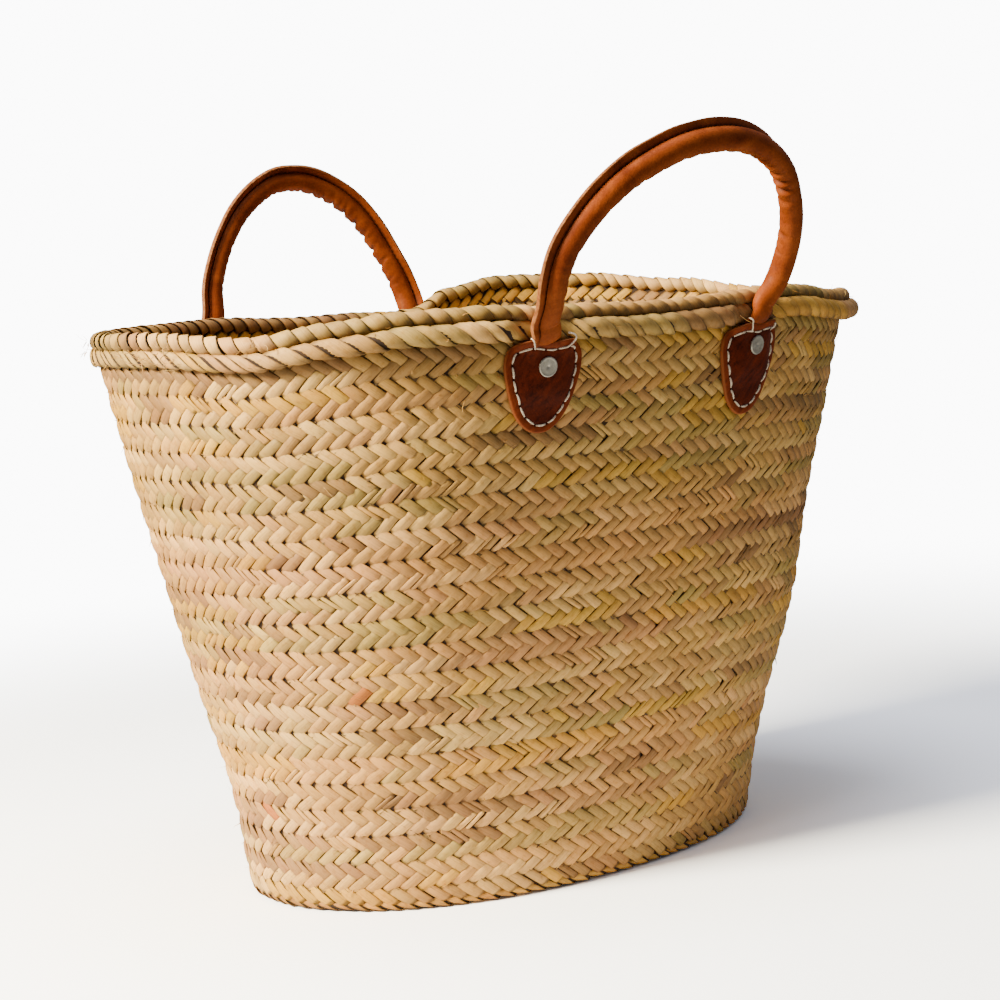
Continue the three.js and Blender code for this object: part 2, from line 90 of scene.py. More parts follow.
def wall_point(turn, height, out=0.0):
    """A point off the wall's outer side, by degrees round, height and distance out."""
    turn, height, out = np.broadcast_arrays(
        np.asarray(turn, float) % 360, np.asarray(height, float), np.asarray(out, float)
    )
    share = height / basket_height
    a, b, power, c, s, nx, ny, shift = wall_normal(turn, np.clip(share, 0, 1))
    reach = out.copy()
    for at, level, width, tall, depth in dents:
        away = np.abs(turn - at)
        away = np.minimum(away, 360 - away) / width
        reach = reach + depth * dent_depth * np.exp(-(away**2 + ((share - level) / tall) ** 2))
    i = np.clip(np.searchsorted(rim_wave[:, 0], turn, side="right") - 1, 0, len(rim_wave) - 2)
    t = (turn - rim_wave[i, 0]) / (rim_wave[i + 1, 0] - rim_wave[i, 0])
    t = t * t * (3 - 2 * t)
    lift = (rim_wave[i, 1] * (1 - t) + rim_wave[i + 1, 1] * t) * basket_height
    return np.stack([
        a * np.sign(c) * np.abs(c) ** power + nx * reach + shift,
        b * np.sign(s) * np.abs(s) ** power + ny * reach,
        height + lift * np.clip(share, 0, None) ** 3,
    ], -1)


def walk_round(height, out=0.0):
    """Turns and the way covered at them, walked once round the wall at one height."""
    turn = np.linspace(0, 360, 1441)
    points = wall_point(turn, height, out)
    steps = np.linalg.norm(np.diff(points, axis=0), axis=1)
    return turn, np.concatenate([[0], np.cumsum(steps)])


# The straw: strips of dried palm leaf, pale cream to tan with some yellow, greenish and
# brown ones, satin, with fine streaks along the leaf. The colour of each strip is laid on
# it as an attribute, and its UV map runs along and across it in millimetres.
straw_colours = np.array([
    (0.74, 0.43, 0.145), (0.62, 0.335, 0.10), (0.66, 0.35, 0.06), (0.50, 0.31, 0.09),
    (0.58, 0.30, 0.105), (0.38, 0.195, 0.07), (0.50, 0.16, 0.03),
])
straw_shares = np.array([0.21, 0.31, 0.13, 0.13, 0.11, 0.105, 0.005])


def new_material(name):
    material = bpy.data.materials.new(name)
    material.use_nodes = True
    tree = material.node_tree
    return material, tree, tree.nodes["Principled BSDF"]


def set_inputs(tree, node, inputs):
    """Links the inputs that are given a socket, and sets the others."""
    for key, value in inputs.items():
        if isinstance(value, bpy.types.NodeSocket):
            tree.links.new(value, node.inputs[key])
        else:
            node.inputs[key].default_value = value
    return node


def add_node(tree, kind, inputs=None, **settings):
    made = tree.nodes.new(kind)
    for key, value in settings.items():
        setattr(made, key, value)
    return set_inputs(tree, made, inputs or {})


def object_place(tree):
    return add_node(tree, "ShaderNodeTexCoord").outputs["Object"]


def mark(tree, name):
    """A number that was laid on the mesh."""
    return add_node(tree, "ShaderNodeAttribute", attribute_name=name).outputs["Fac"]


def noise(tree, where, scale, detail=3.0, **more):
    inputs = {"Vector": where, "Scale": scale, "Detail": detail, **more}
    return add_node(tree, "ShaderNodeTexNoise", inputs).outputs["Fac"]


def stretched(tree, where, scale):
    return add_node(tree, "ShaderNodeMapping", {"Vector": where, "Scale": scale}).outputs[0]


def calc(tree, how, first, second):
    return add_node(tree, "ShaderNodeMath", {0: first, 1: second}, operation=how).outputs[0]


def map_range(tree, value, lows, highs, **settings):
    """value runs over the pair lows, the result over the pair highs."""
    made = add_node(tree, "ShaderNodeMapRange", {
        "Value": value, "From Min": lows[0], "From Max": lows[1], "To Min": highs[0], "To Max": highs[1],
    }, **settings)
    return made.outputs["Result"]


def add_bump(tree, shader, height, strength, distance):
    made = add_node(tree, "ShaderNodeBump", {"Height": height, "Strength": strength, "Distance": distance})
    tree.links.new(made.outputs["Normal"], shader.inputs["Normal"])


def ramp(tree, factor, stops):
    made = add_node(tree, "ShaderNodeValToRGB", {"Fac": factor})
    elements = made.color_ramp.elements
    while len(elements) < len(stops):
        elements.new(0.5)
    for element, (place, colour) in zip(elements, stops):
        element.position = place
        element.color = (*colour, 1) if hasattr(colour, "__len__") else (colour,) * 3 + (1,)
    return made.outputs["Color"]


def mix_colours(tree, how, factor, first, second):
    if isinstance(second, tuple):
        second = (*second, 1)
    inputs = {0: factor, 6: first, 7: second}
    return add_node(tree, "ShaderNodeMix", inputs, data_type="RGBA", blend_type=how).outputs[2]


def straw_material(name, gloss):
    material, tree, shader = new_material(name)
    tint = add_node(tree, "ShaderNodeAttribute", attribute_name="straw_tint").outputs["Color"]
    uv = add_node(tree, "ShaderNodeUVMap", uv_map="strip").outputs["UV"]
    streaks = noise(tree, stretched(tree, uv, (0.05, 1.5, 1)), 1.0, 4.0, Roughness=0.6)
    fibres = noise(tree, stretched(tree, uv, (0.15, 6.0, 1)), 1.0, 3.0, Roughness=0.6)
    blotches = noise(tree, uv, 0.35, 3.0, Roughness=0.55)
    shade = ramp(tree, streaks, [(0.28, 0.74), (0.5, 1.0), (0.75, 1.1)])
    colour = mix_colours(tree, "MULTIPLY", 1.0, tint, shade)
    spots = ramp(tree, blotches, [(0.3, (0.80, 0.70, 0.55)), (0.5, (1, 1, 1))])
    colour = mix_colours(tree, "MULTIPLY", 0.8, colour, spots)
    dark_fibres = ramp(tree, fibres, [(0.32, 0.8), (0.5, 1.0)])
    colour = mix_colours(tree, "MULTIPLY", 0.7, colour, dark_fibres)
    rough = map_range(tree, streaks, (0.3, 0.7), (gloss + 0.12, gloss))
    set_inputs(tree, shader, {"Base Color": colour, "Roughness": rough, "Specular IOR Level": 0.22})
    add_bump(tree, shader, calc(tree, "ADD", streaks, fibres), 0.55, 0.0002)
    return material


straw = straw_material("palm_straw", 0.5)


def run_of_colours(count, rng, mean_run=3.5):
    """Strips cut from one leaf lie side by side, so colours come in runs."""
    tints = np.empty((count, 3))
    at = 0
    while at < count:
        length = 1 + int(rng.exponential(mean_run))
        kind = rng.choice(len(straw_colours), p=straw_shares)
        base = straw_colours[kind]
        if kind == len(straw_colours) - 1:
            length = 1
        base = base * rng.uniform(0.9, 1.08)
        tints[at:at + length] = base
        at += length
    tints *= rng.uniform(0.78, 1.1, (count, 1))
    tints *= rng.uniform(0.965, 1.035, (count, 3))
    return np.clip(tints, 0, 0.9)


# One strip end where it shows: modelled once as a flat sheet, closed below, then laid out
# as often as the plait needs. Along it lie its stations, across it its columns.
def strip_form(stations, columns):
    bpy.ops.mesh.primitive_grid_add(x_subdivisions=stations - 1, y_subdivisions=columns - 1, size=2)
    form = bpy.context.object
    bpy.ops.object.mode_set(mode="EDIT")
    bpy.ops.mesh.select_mode(type="EDGE")
    bpy.ops.mesh.select_all(action="DESELECT")
    bpy.ops.object.mode_set(mode="OBJECT")
    for edge in form.data.edges:
        y = [form.data.vertices[v].co.y for v in edge.vertices]
        edge.select = abs(abs(y[0]) - 1) < 1e-4 and abs(y[0] - y[1]) < 1e-4
    bpy.ops.object.mode_set(mode="EDIT")
    bpy.ops.mesh.bridge_edge_loops()
    bpy.ops.mesh.select_all(action="SELECT")
    bpy.ops.mesh.fill_holes(sides=columns + 1)
    bpy.ops.object.mode_set(mode="OBJECT")
    for v in form.data.vertices:
        v.co.z = 0.5 - 0.25 * v.co.x**2 - 0.25 * v.co.y**2
    bpy.ops.object.mode_set(mode="EDIT")
    bpy.ops.mesh.select_all(action="SELECT")
    bpy.ops.mesh.normals_make_consistent(inside=False)
    bpy.ops.object.mode_set(mode="OBJECT")
    points = np.array([v.co for v in form.data.vertices])
    faces = [tuple(p.vertices) for p in form.data.polygons]
    tops = [len(f) == 4 and np.ptp(points[list(f), 1]) < 1.9 and p.normal.z > 0.2
            for f, p in zip(faces, form.data.polygons)]
    mesh = form.data
    bpy.data.objects.remove(form)
    bpy.data.meshes.remove(mesh)
    return points[:, 0], points[:, 1], faces, tops


def mesh_object(name, points, corners, sizes, smooth=True):
    """A mesh from points in millimetres, the faces' corners in one row, and each face's size."""
    mesh = bpy.data.meshes.new(name)
    mesh.vertices.add(len(points))
    mesh.vertices.foreach_set("co", (np.asarray(points, float) / 1000).astype(np.float32).ravel())
    mesh.loops.add(len(corners))
    mesh.loops.foreach_set("vertex_index", corners.astype(np.int32))
    mesh.polygons.add(len(sizes))
    starts = np.concatenate([[0], np.cumsum(sizes)[:-1]])
    mesh.polygons.foreach_set("loop_start", starts.astype(np.int32))
    mesh.polygons.foreach_set("loop_total", sizes.astype(np.int32))
    mesh.update(calc_edges=True)
    mesh.polygons.foreach_set("use_smooth", np.broadcast_to(np.asarray(smooth), len(sizes)).astype(bool))
    made = bpy.data.objects.new(name, mesh)
    bpy.context.scene.collection.objects.link(made)
    return made


def lay_attribute(made, key, kind, field, values):
    layer = made.data.attributes.new(key, kind, "POINT")
    layer.data.foreach_set(field, values.astype(np.float32).ravel())


def lay_uv(made, key, values):
    layer = made.data.uv_layers.new(name=key)
    layer.data.foreach_set("uv", values.astype(np.float32).ravel())


def settle(made, material):
    made.data.materials.append(material)
    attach(made, "root")
    return made


def face_outwards(made):
    bpy.ops.object.select_all(action="DESELECT")
    bpy.context.view_layer.objects.active = made
    made.select_set(True)
    bpy.ops.object.mode_set(mode="EDIT")
    bpy.ops.mesh.select_all(action="SELECT")
    bpy.ops.mesh.normals_make_consistent(inside=False)
    bpy.ops.object.mode_set(mode="OBJECT")
    made.select_set(False)


def closed_sheet(name, rings, material):
    """A closed band of quads through rings of points, the last ring joined to the first."""
    count, size = len(rings), len(rings[0])
    row, next_row = np.arange(count)[:, None] * size, (np.arange(count)[:, None] + 1) % count * size
    place = np.arange(size)[None, :]
    next_place = (place + 1) % size
    quads = np.stack([row + place, row + next_place, next_row + next_place, next_row + place], -1)
    made = mesh_object(name, np.concatenate(rings), quads.ravel(), np.full(count * size, 4))
    face_outwards(made)
    return settle(made, material)


def lay_strips(name, form, strips, place, profile, inward=False):
    """Copies of one strip form as one mesh. strips holds x, z, lean, length, width, tilt,
    lift, tint, row, shear and curl, one value for each copy; profile gives the form's heights."""
    s, u, faces, tops = form
    u = np.sign(u) * np.interp(np.abs(u), (0, 0.5, 1), (0, 0.84, 1))
    count, size = len(strips["x"]), len(s)
    along, narrow, height = profile(s, u)
    length = strips["length"][:, None] * along
    across = strips["width"][:, None] * u * narrow / 2
    c, n = np.cos(strips["lean"])[:, None], np.sin(strips["lean"])[:, None]
    length = length + across * strips["shear"][:, None]
    x = strips["x"][:, None] + length * c - across * n
    z = strips["z"][:, None] + length * n + across * c
    out = height + strips["lift"][:, None] + across * np.sin(strips["tilt"])[:, None]
    out = out + strips["curl"][:, None] * np.clip((s - 0.2) / 0.8, 0, 1) ** 2
    points = place(x, z, out, strips["row"][:, None]).reshape(-1, 3)
    turned = [f[::-1] for f in faces] if inward else faces
    flat = np.concatenate([np.array(f) for f in turned])
    corners = (flat[None, :] + size * np.arange(count)[:, None]).ravel()
    sizes = np.tile(np.array([len(f) for f in turned]), count)
    made = mesh_object(name, points, corners, sizes, np.tile(np.array(tops), count))
    # Darker along both edges, partly the browner dried edge of the leaf and partly painted shade in the lines
    # between strips, and painted shade towards the ends that go under the next strips
    edge = (1 - 0.62 * (np.abs(u) > 0.99)) * (1 - 0.6 * np.clip((np.abs(s) - 0.4) / 0.3, 0, 1))
    tint = strips["tint"][:, None, :] * edge[None, :, None]
    rgba = np.concatenate([tint, np.ones((count, size, 1))], -1)
    lay_attribute(made, "straw_tint", "FLOAT_COLOR", "color", rgba)
    offset = np.random.default_rng(len(points)).uniform(0, 900, (count, 1, 2))
    uv = np.stack([length, across], -1) + offset
    lay_uv(made, "strip", uv.reshape(-1, 2)[corners])
    return settle(made, straw)


# The wall's plait: each row shows strips that come down to the right over strips that go
# up to the right, and the rows are sewn edge to edge, with dark teeth between them.
strip_lean = math.radians(38)
strip_pitch = 8.95
strip_width = 5.75
strip_shear = 0.25
front_turn = 285.0
dark_from_row = 14
pale_below_row = 6


def wall_profile(s, u):
    stations = (-1, -0.667, -0.333, 0, 0.333, 0.667, 1)
    along = np.interp(s, stations, (-8.5, -7.0, -5.6, 0, 5.3, 6.4, 7.8))
    rise = np.interp(s, stations, (-1.35, -0.6, 0.0, 0.4, 0.05, -0.55, -1.25))
    narrow = np.interp(s, stations, (0.85, 0.93, 1, 1, 1, 1, 1))
    crown = np.interp(np.abs(u), (0, 0.84, 1), (0.3, -0.02, -0.6))
    return along, narrow, rise + crown


row_levels = [wall_bottom + row_height * m for m in range(plait_rows + 1)]
row_ways = [walk_round(min(max(level, 2.0), 296.0)) for level in row_levels]


def place_on_wall(side):
    def place(x, z, out, row):
        points = np.empty(x.shape + (3,))
        for m in range(plait_rows + 1):
            here = np.broadcast_to(row == m, x.shape)[:, 0]
            if not here.any():
                continue
            turn, way = row_ways[m]
            at = np.interp((x[here] % way[-1]), way, turn)
            share = np.minimum(np.abs(z[here]) / (row_height / 2), 1)
            rib = -rib_depth * (1 - np.cos(math.pi * share)) / 2
            level = row_levels[m] + z[here]
            if side > 0:
                points[here] = wall_point(at, level, out[here] + rib - 0.1)
            else:
                points[here] = wall_point(at, level, -wall_thickness + 0.15 - out[here] - rib * 0.6)
        return points
    return place


def some(strips, keep):
    return {key: value[keep] for key, value in strips.items()}


def joined(parts):
    return {key: np.concatenate([part[key] for part in parts]) for key in parts[0]}


def split_some(strips, rng, share):
    """Some strips are two narrow ones side by side, a little apart."""
    count = len(strips["x"])
    split = rng.random(count) < share
    extra = some(strips, split)
    cut = rng.uniform(0.35, 0.65, split.sum())
    width = strips["width"][split]
    slope = np.abs(np.sin(strips["lean"][split]))
    strips["x"][split] -= width * (1 - cut) / 2 / slope
    extra["x"] += width * cut / 2 / slope
    strips["width"][split] = width * cut * 0.96
    extra["width"] = width * (1 - cut) * 0.96
    extra["lean"] += rng.normal(0, 0.05, split.sum())
    extra["lift"] += rng.normal(0, 0.15, split.sum())
    extra["tint"] = np.clip(extra["tint"] * rng.uniform(0.8, 1.1, (split.sum(), 1)), 0, 0.9)
    return joined([strips, extra])


def wall_strips(side, seed):
    rng = np.random.default_rng(seed)
    parts = []
    for m in range(plait_rows + 1):
        turn, way = row_ways[m]
        count = round(way[-1] / strip_pitch)
        pitch = way[-1] / count
        front = np.interp(front_turn, turn, way)
        # Each row wanders a little up and down and has its own cast, darker high up and paler low down
        waves = rng.uniform(0, 2 * math.pi, 3)
        cast = rng.normal(1, 0.025, 3) * rng.uniform(0.94, 1.05)
        if m >= dark_from_row:
            cast = cast * (0.93, 0.955, 0.88)
        if m < pale_below_row:
            cast = cast * (1.02, 1.02, 1.03)
        for family in (1, -1):
            if (m == 0 and family < 0) or (m == plait_rows and family > 0):
                # The lowest and the highest row are half rows
                continue
            k = np.arange(count)
            x = front + (k + (0.0 if family > 0 else 0.5)) * pitch + rng.normal(0, 0.2, count)
            round_way = k / count * 2 * math.pi
            wander = 0.25 * np.sin(7 * round_way + waves[0]) + 0.15 * np.sin(17 * round_way + waves[1])
            z = family * row_height / 4 + wander + rng.normal(0, 0.15, count)
            lean = -family * side * (strip_lean + rng.normal(0, 0.04, count))
            strips = {
                "x": x, "z": z, "lean": lean, "length": 1 + rng.normal(0, 0.025, count),
                "width": strip_width * (1 + rng.normal(0, 0.045, count)),
                "tilt": rng.normal(0.03, 0.05, count),
                "lift": rng.normal(0, 0.1, count), "tint": np.clip(run_of_colours(count, rng) * cast, 0, 0.9),
                "row": np.full(count, m), "shear": -np.sign(lean) * strip_shear,
                "curl": np.where(rng.random(count) < 0.03, rng.uniform(0.6, 1.3, count), 0.0),
            }
            parts.append(split_some(strips, rng, 0.06))
    return joined(parts)


wall_form = strip_form(7, 5)
outside = wall_strips(1, 11)
for name, low, high in (
    ("weave_outside_low", 0, 8), ("weave_outside_middle", 8, 15), ("weave_outside_high", 15, plait_rows + 1),
):
    part = some(outside, (outside["row"] >= low) & (outside["row"] < high))
    lay_strips(name, wall_form, part, place_on_wall(1), wall_profile)
inner_form = strip_form(6, 4)
inside = wall_strips(-1, 12)
inside["tint"] = np.clip(inside["tint"] * (1.16, 1.18, 1.2), 0, 0.9)


def inner_profile(s, u):
    along = np.interp(s, (-1, -0.6, -0.2, 0.2, 0.6, 1), (-7.5, -5.9, -4.4, 4.6, 6.0, 7.5))
    rise = np.interp(s, (-1, -0.6, -0.2, 0.2, 0.6, 1), (-1.1, -0.45, 0.22, 0.22, -0.35, -1.1))
    crown = np.interp(np.abs(u), (0.3, 1), (0.1, -0.5))
    return along, np.ones_like(s), rise + crown


for name, low, high in (("weave_inside_low", 0, 11), ("weave_inside_high", 11, plait_rows + 1)):
    part = some(inside, (inside["row"] >= low) & (inside["row"] < high))
    lay_strips(name, inner_form, part, place_on_wall(-1), inner_profile, inward=True)


# The very dark sheet in the middle of the wall is painted shade, which shows between the strips.
shade, shade_tree, shade_shader = new_material("straw_shade")
shade_noise = noise(shade_tree, object_place(shade_tree), 220.0)
shade_colour = ramp(shade_tree, shade_noise, [(0.3, (0.016, 0.007, 0.003)), (0.7, (0.05, 0.022, 0.008))])
set_inputs(shade_tree, shade_shader, {"Base Color": shade_colour, "Roughness": 0.9})

core_turns = np.linspace(0, 360, 180, endpoint=False)
core_rows = 42
core_bottom, core_top = 3.0, 296.5
core_levels = np.concatenate([
    np.linspace(core_bottom, core_top, core_rows), np.linspace(core_top, core_bottom, core_rows)
])
core_outs = np.repeat([-1.6, -1.85], core_rows)
wall_core = closed_sheet(
    "wall_core", [wall_point(core_turns, level, out) for level, out in zip(core_levels, core_outs)], shade
)
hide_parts("basket_wall")

# The rim: two rolls of straw wound with wide strips, one along the top and one outside
# just under it. The outer one is squeezed flat where the handles pass.
top_roll_radius = 4.0
outer_roll_radius = 4.5
top_roll_level = basket_height - top_roll_radius
outer_roll_level = 288.4
# Where the handles pass, in x, in front of the basket and behind it
handle_feet = {-1: (-71.3, 67.3), 1: (-70.0, 68.0)}
# At the left end: how far each roll drops and moves in, and how much taller or flatter it is
top_end_drop, top_end_in, top_end_taller = 0.7, 1.6, 0.7
outer_end_drop, outer_end_in, outer_end_flatter = 0.8, 0.8, 0.9


def left_end(turn):
    """How near the left end of the rim, where the top roll is thick and the outer one thin."""
    return np.exp(-(((np.asarray(turn) % 360 - 176) / 42) ** 2))


def outer_radius(turn):
    p = wall_point(turn, outer_roll_level)
    away = np.full(p.shape[:-1], 99.0)
    for side, feet in handle_feet.items():
        for foot in feet:
            here = np.sign(p[..., 1]) == side
            away = np.where(here, np.minimum(away, np.abs(p[..., 0] - foot)), away)
    t = np.clip((23 - away) / 11, 0, 1)
    return outer_roll_radius * (1 - 0.6 * t * t * (3 - 2 * t)) * (1 - 0.75 * left_end(turn))


def on_roll(turn, level, middle_out, radius, tall, angle, out):
    """A point round a roll along the rim; radius is its half size outwards, tall upwards."""
    middle = wall_point(turn, level, middle_out)
    outward = wall_point(turn, level, middle_out + 1) - middle
    c, n = np.cos(angle), np.sin(angle)
    return (
        middle + outward * ((radius + out) * c)[..., None]
        + np.array([0, 0, 1.0]) * ((tall + out) * n)[..., None]
    )


def place_on_top_roll(x, z, out, row):
    turn, way = top_way
    at = np.interp(x % way[-1], way, turn)
    end = left_end(at)
    size = top_roll_radius + 0.25
    return on_roll(
        at, top_roll_level - top_end_drop * end, -wall_thickness / 2 - top_end_in * end,
        size, size + top_end_taller * end, z / top_roll_radius, out,
    )


def place_on_outer_roll(x, z, out, row):
    turn, way = outer_way
    at = np.interp(x % way[-1], way, turn)
    end = left_end(at)
    radius = outer_radius(at)
    return on_roll(
        at, outer_roll_level - outer_end_drop * end, radius + 0.3 - outer_end_in * end,
        radius - 0.3, outer_roll_radius + 0.35 - outer_end_flatter * end, z / outer_roll_radius, out,
    )


top_way = walk_round(top_roll_level, 1.0)
outer_way = walk_round(outer_roll_level, 6.0)
roll_form = strip_form(13, 5)


def roll_profile(length, crowns=(-0.75, -0.28, 0.15, 0.4, 0.1)):
    def profile(s, u):
        rise = np.where(np.abs(s) > 0.95, -0.8, 0.0)
        crown = np.interp(u, (-1, -0.84, 0, 0.84, 1), crowns)
        return s * length / 2, np.ones_like(s), rise + crown
    return profile


def roll_strips(way, pitch, lean, middle, seed, width, run, uneven):
    """Strips wound round a roll, each as wide as its own share of the way round. lean is in
    degrees, and middle holds the degrees from straight outwards and the roll's radius."""
    lean, middle = math.radians(lean), math.radians(middle[0]) * middle[1]
    rng = np.random.default_rng(seed)
    count = round(way[-1] / pitch)
    share = np.clip(rng.normal(1, uneven, count), 0.6, 1.55)
    edges = np.concatenate([[0], np.cumsum(share)]) * way[-1] / share.sum()
    own = np.diff(edges)
    return {
        "x": (edges[:-1] + edges[1:]) / 2,
        "z": middle + rng.normal(0, 0.2, count),
        "lean": -(lean + rng.normal(0, 0.035, count)),
        "length": np.ones(count), "width": width * own / pitch,
        "tilt": rng.normal(0.03, 0.03, count), "lift": rng.normal(0, 0.13, count),
        "tint": run_of_colours(count, rng, run), "row": np.zeros(count),
        "shear": np.zeros(count), "curl": np.zeros(count),
    }


top_strips = roll_strips(top_way[1], 8.9, 53, (92, top_roll_radius), 21, 7.6, 3, 0.16)
lay_strips("rim_top_strips", roll_form, top_strips, place_on_top_roll, roll_profile(27.5))
outer_strips = roll_strips(outer_way[1], 10.4, 44, (5, outer_roll_radius), 22, 7.9, 3, 0.24)
outer_end = left_end(np.interp(outer_strips["x"] % outer_way[1][-1], outer_way[1], outer_way[0]))
outer_strips["lean"] += math.radians(7) * outer_end
outer_strips["width"] *= 1 + 0.14 * outer_end
outer_profile = roll_profile(30.0, (-1.2, -0.6, 0.45, 0.5, -0.1))
lay_strips("rim_outer_strips", roll_form, outer_strips, place_on_outer_roll, outer_profile)

roll_sides = 14
roll_turns = np.linspace(0, 360, 240, endpoint=False)


def roll_core(name, level, middle_out, radius, tall):
    """A very dark sheet inside a roll, painted shade which shows between its strips."""
    radius, tall = np.broadcast_to(radius, roll_turns.shape), np.broadcast_to(tall, roll_turns.shape)
    return closed_sheet(name, [
        on_roll(roll_turns, level, middle_out, radius, tall, np.full(roll_turns.shape, angle), 0.0)
        for angle in np.linspace(0, 2 * math.pi, roll_sides, endpoint=False)
    ], shade)


core_end = left_end(roll_turns)
top_core = roll_core(
    "rim_top_core", top_roll_level - top_end_drop * core_end, -wall_thickness / 2 - top_end_in * core_end,
    top_roll_radius - 0.65, top_roll_radius - 0.65,
)
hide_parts("rim_top_roll")
core_radius = outer_radius(roll_turns)
outer_core = roll_core(
    "rim_outer_core", outer_roll_level - outer_end_drop * core_end, core_radius + 0.3,
    np.maximum(core_radius - 0.85, 0.3), outer_roll_radius - 0.6 - outer_end_flatter * core_end,
)
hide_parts("rim_outer_roll")

# The base: flat plaited rows inside an oval edge row, on which the basket stands.
base_edge_radius = 2.7
base_edge_level = base_edge_radius + 0.2
base_way = walk_round(1.0, -1.5)


def place_on_base_edge(x, z, out, row):
    turn, way = base_way
    at = np.interp(x % way[-1], way, turn)
    size = np.full(at.shape, base_edge_radius - 0.3)
    return on_roll(at, base_edge_level, -base_edge_level, size, size, z / base_edge_radius, out)


edge_strips = roll_strips(base_way[1], 8.9, 38, (-15, base_edge_radius), 31, 4.5, 6, 0.12)
edge_strips["tint"] = edge_strips["tint"] * (1.02, 0.93, 0.6)
lay_strips("base_edge_strips", roll_form, edge_strips, place_on_base_edge, roll_profile(16.0))
roll_core(
    "base_edge_core", base_edge_level, -base_edge_level, base_edge_radius - 0.9, base_edge_radius - 0.9
)
base_rows = 8
base_row_strips = 38


def base_strips(seed, side):
    rng = np.random.default_rng(seed)
    parts = []
    for m in range(-base_rows, base_rows + 1):
        for family in (1, -1):
            count = base_row_strips
            k = np.arange(count) - count / 2
            x = (k + (0.0 if family > 0 else 0.5)) * strip_pitch + rng.normal(0, 0.25, count)
            y = m * row_height + family * row_height / 4 + rng.normal(0, 0.2, count)
            parts.append({
                "x": x, "z": y, "lean": -family * side * (strip_lean + rng.normal(0, 0.04, count)),
                "length": np.ones(count), "width": strip_width * (1 + rng.normal(0, 0.05, count)),
                "tilt": rng.normal(0, 0.04, count), "lift": rng.normal(0, 0.06, count),
                "tint": run_of_colours(count, rng), "row": np.full(count, m),
                "shear": np.full(count, family * side * strip_shear), "curl": np.zeros(count),
            })
    strips = joined(parts)
    angle = np.arctan2(strips["z"] / base_width, strips["x"] / base_length)
    turn = np.degrees(angle) % 360
    limit = wall_point(turn, 1.0, -5.0)
    inside_oval = np.hypot(strips["x"], strips["z"]) < np.hypot(limit[:, 0], limit[:, 1])
    return some(strips, inside_oval)


def within_base(x, y, level):
    """Strips that reach the wall are cut off at its inner side."""
    limit = wall_point(np.degrees(np.arctan2(y / base_width, x / base_length)), 1.0, -3.2)
    share = np.minimum(np.hypot(limit[..., 0], limit[..., 1]) / np.maximum(np.hypot(x, y), 1e-6), 1)
    return np.stack([x * share, y * share, level], -1)


def place_under(x, z, out, row):
    return within_base(x, z, 0.75 - out)


def place_over(x, z, out, row):
    return within_base(x, z, 3.9 + out)


def base_profile(s, u):
    along, narrow, height = inner_profile(s, u)
    return along, narrow, height * 0.9


lay_strips("base_weave_under", inner_form, base_strips(41, 1), place_under, base_profile, inward=True)
lay_strips("base_weave_over", inner_form, base_strips(42, -1), place_over, base_profile)
# The base's middle is the same very dark sheet: painted shade that shows between its strips.
base_line = wall_point(roll_turns, 0, -2.5)[:, :2]
base_core = closed_sheet("base_core", [
    np.concatenate([base_line * scale, np.full((len(roll_turns), 1), level)], 1)
    for scale, level in ((1, 2.2), (1, 2.9), (0.5, 2.9), (1e-3, 2.9), (1e-3, 2.2), (0.5, 2.2))
], shade)
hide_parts("basket_base")

# The two handles: leather rolled round a cord core, its two long edges sewn together as a
# flat fin outside the arch. Their flattened ends lie on the wall, riveted under the tabs.
tube_radius = 6.0
fin_reach = 4.5
fin_thickness = 2.4
# x, y, z of the middle line, from the end under the left tab to the one under the right
handle_routes = {
    "front": [
        (-71.4, -139.3, 265.8), (-71.4, -140.3, 272.6), (-71.4, -141.5, 278.6), (-71.9, -143.5, 284.1),
        (-72.8, -147.3, 285.8), (-74.2, -149.9, 289.9), (-75.4, -150.8, 293.4), (-77.4, -156.6, 302.1),
        (-78.6, -163.1, 314.3), (-77.3, -169.3, 326.0), (-69.0, -177.3, 341.0), (-54.4, -184.8, 355.2),
        (-39.0, -188.4, 363.2), (-19.0, -192.0, 370.2), (0.5, -193.2, 372.6), (19.0, -192.6, 371.6),
        (38.0, -189.7, 366.0), (53.9, -184.4, 356.0), (64.2, -178.1, 343.6), (70.4, -172.4, 332.0),
        (74.2, -164.8, 317.6), (73.8, -156.6, 302.1), (67.7, -152.6, 291.4), (67.7, -152.1, 288.0),
        (67.5, -149.4, 284.0), (67.1, -145.6, 282.2), (67.0, -143.5, 276.9), (67.0, -142.3, 271.0),
        (67.0, -141.2, 264.2),
    ],
    "back": [
        (-69.9, 138.3, 264.1), (-69.9, 139.3, 270.8), (-70.0, 140.6, 276.7), (-70.2, 142.7, 282.1),
        (-70.7, 146.5, 283.8), (-71.1, 149.2, 287.8), (-71.1, 149.6, 291.2), (-69.0, 149.0, 300.9),
        (-66.5, 151.5, 314.9), (-61.0, 153.8, 328.0), (-50.7, 156.7, 344.6), (-36.2, 159.4, 359.9),
        (-14.8, 161.6, 372.1), (-1.0, 161.9, 373.7), (10.7, 161.6, 372.5), (28.7, 160.3, 364.7),
        (41.1, 158.6, 355.1), (49.4, 156.7, 344.6), (58.3, 153.9, 328.5), (64.5, 151.3, 314.0),
        (67.7, 149.0, 300.9), (67.6, 144.9, 290.8), (67.6, 144.5, 287.4), (67.4, 141.8, 283.5),
        (67.0, 138.0, 281.8), (66.9, 136.0, 276.5), (66.9, 134.8, 270.8), (66.9, 134.0, 264.2),
    ],
}
# Half size across and through, and the fin's share, from a handle's end up to its arch
foot_sections = (
    (6.4, 1.5, 0.12), (8.0, 1.5, 0.12), (8.0, 1.7, 0.2), (7.6, 2.2, 0.45), (6.9, 2.8, 0.8), (6.6, 3.7, 1),
    (6.3, 4.7, 1),
)
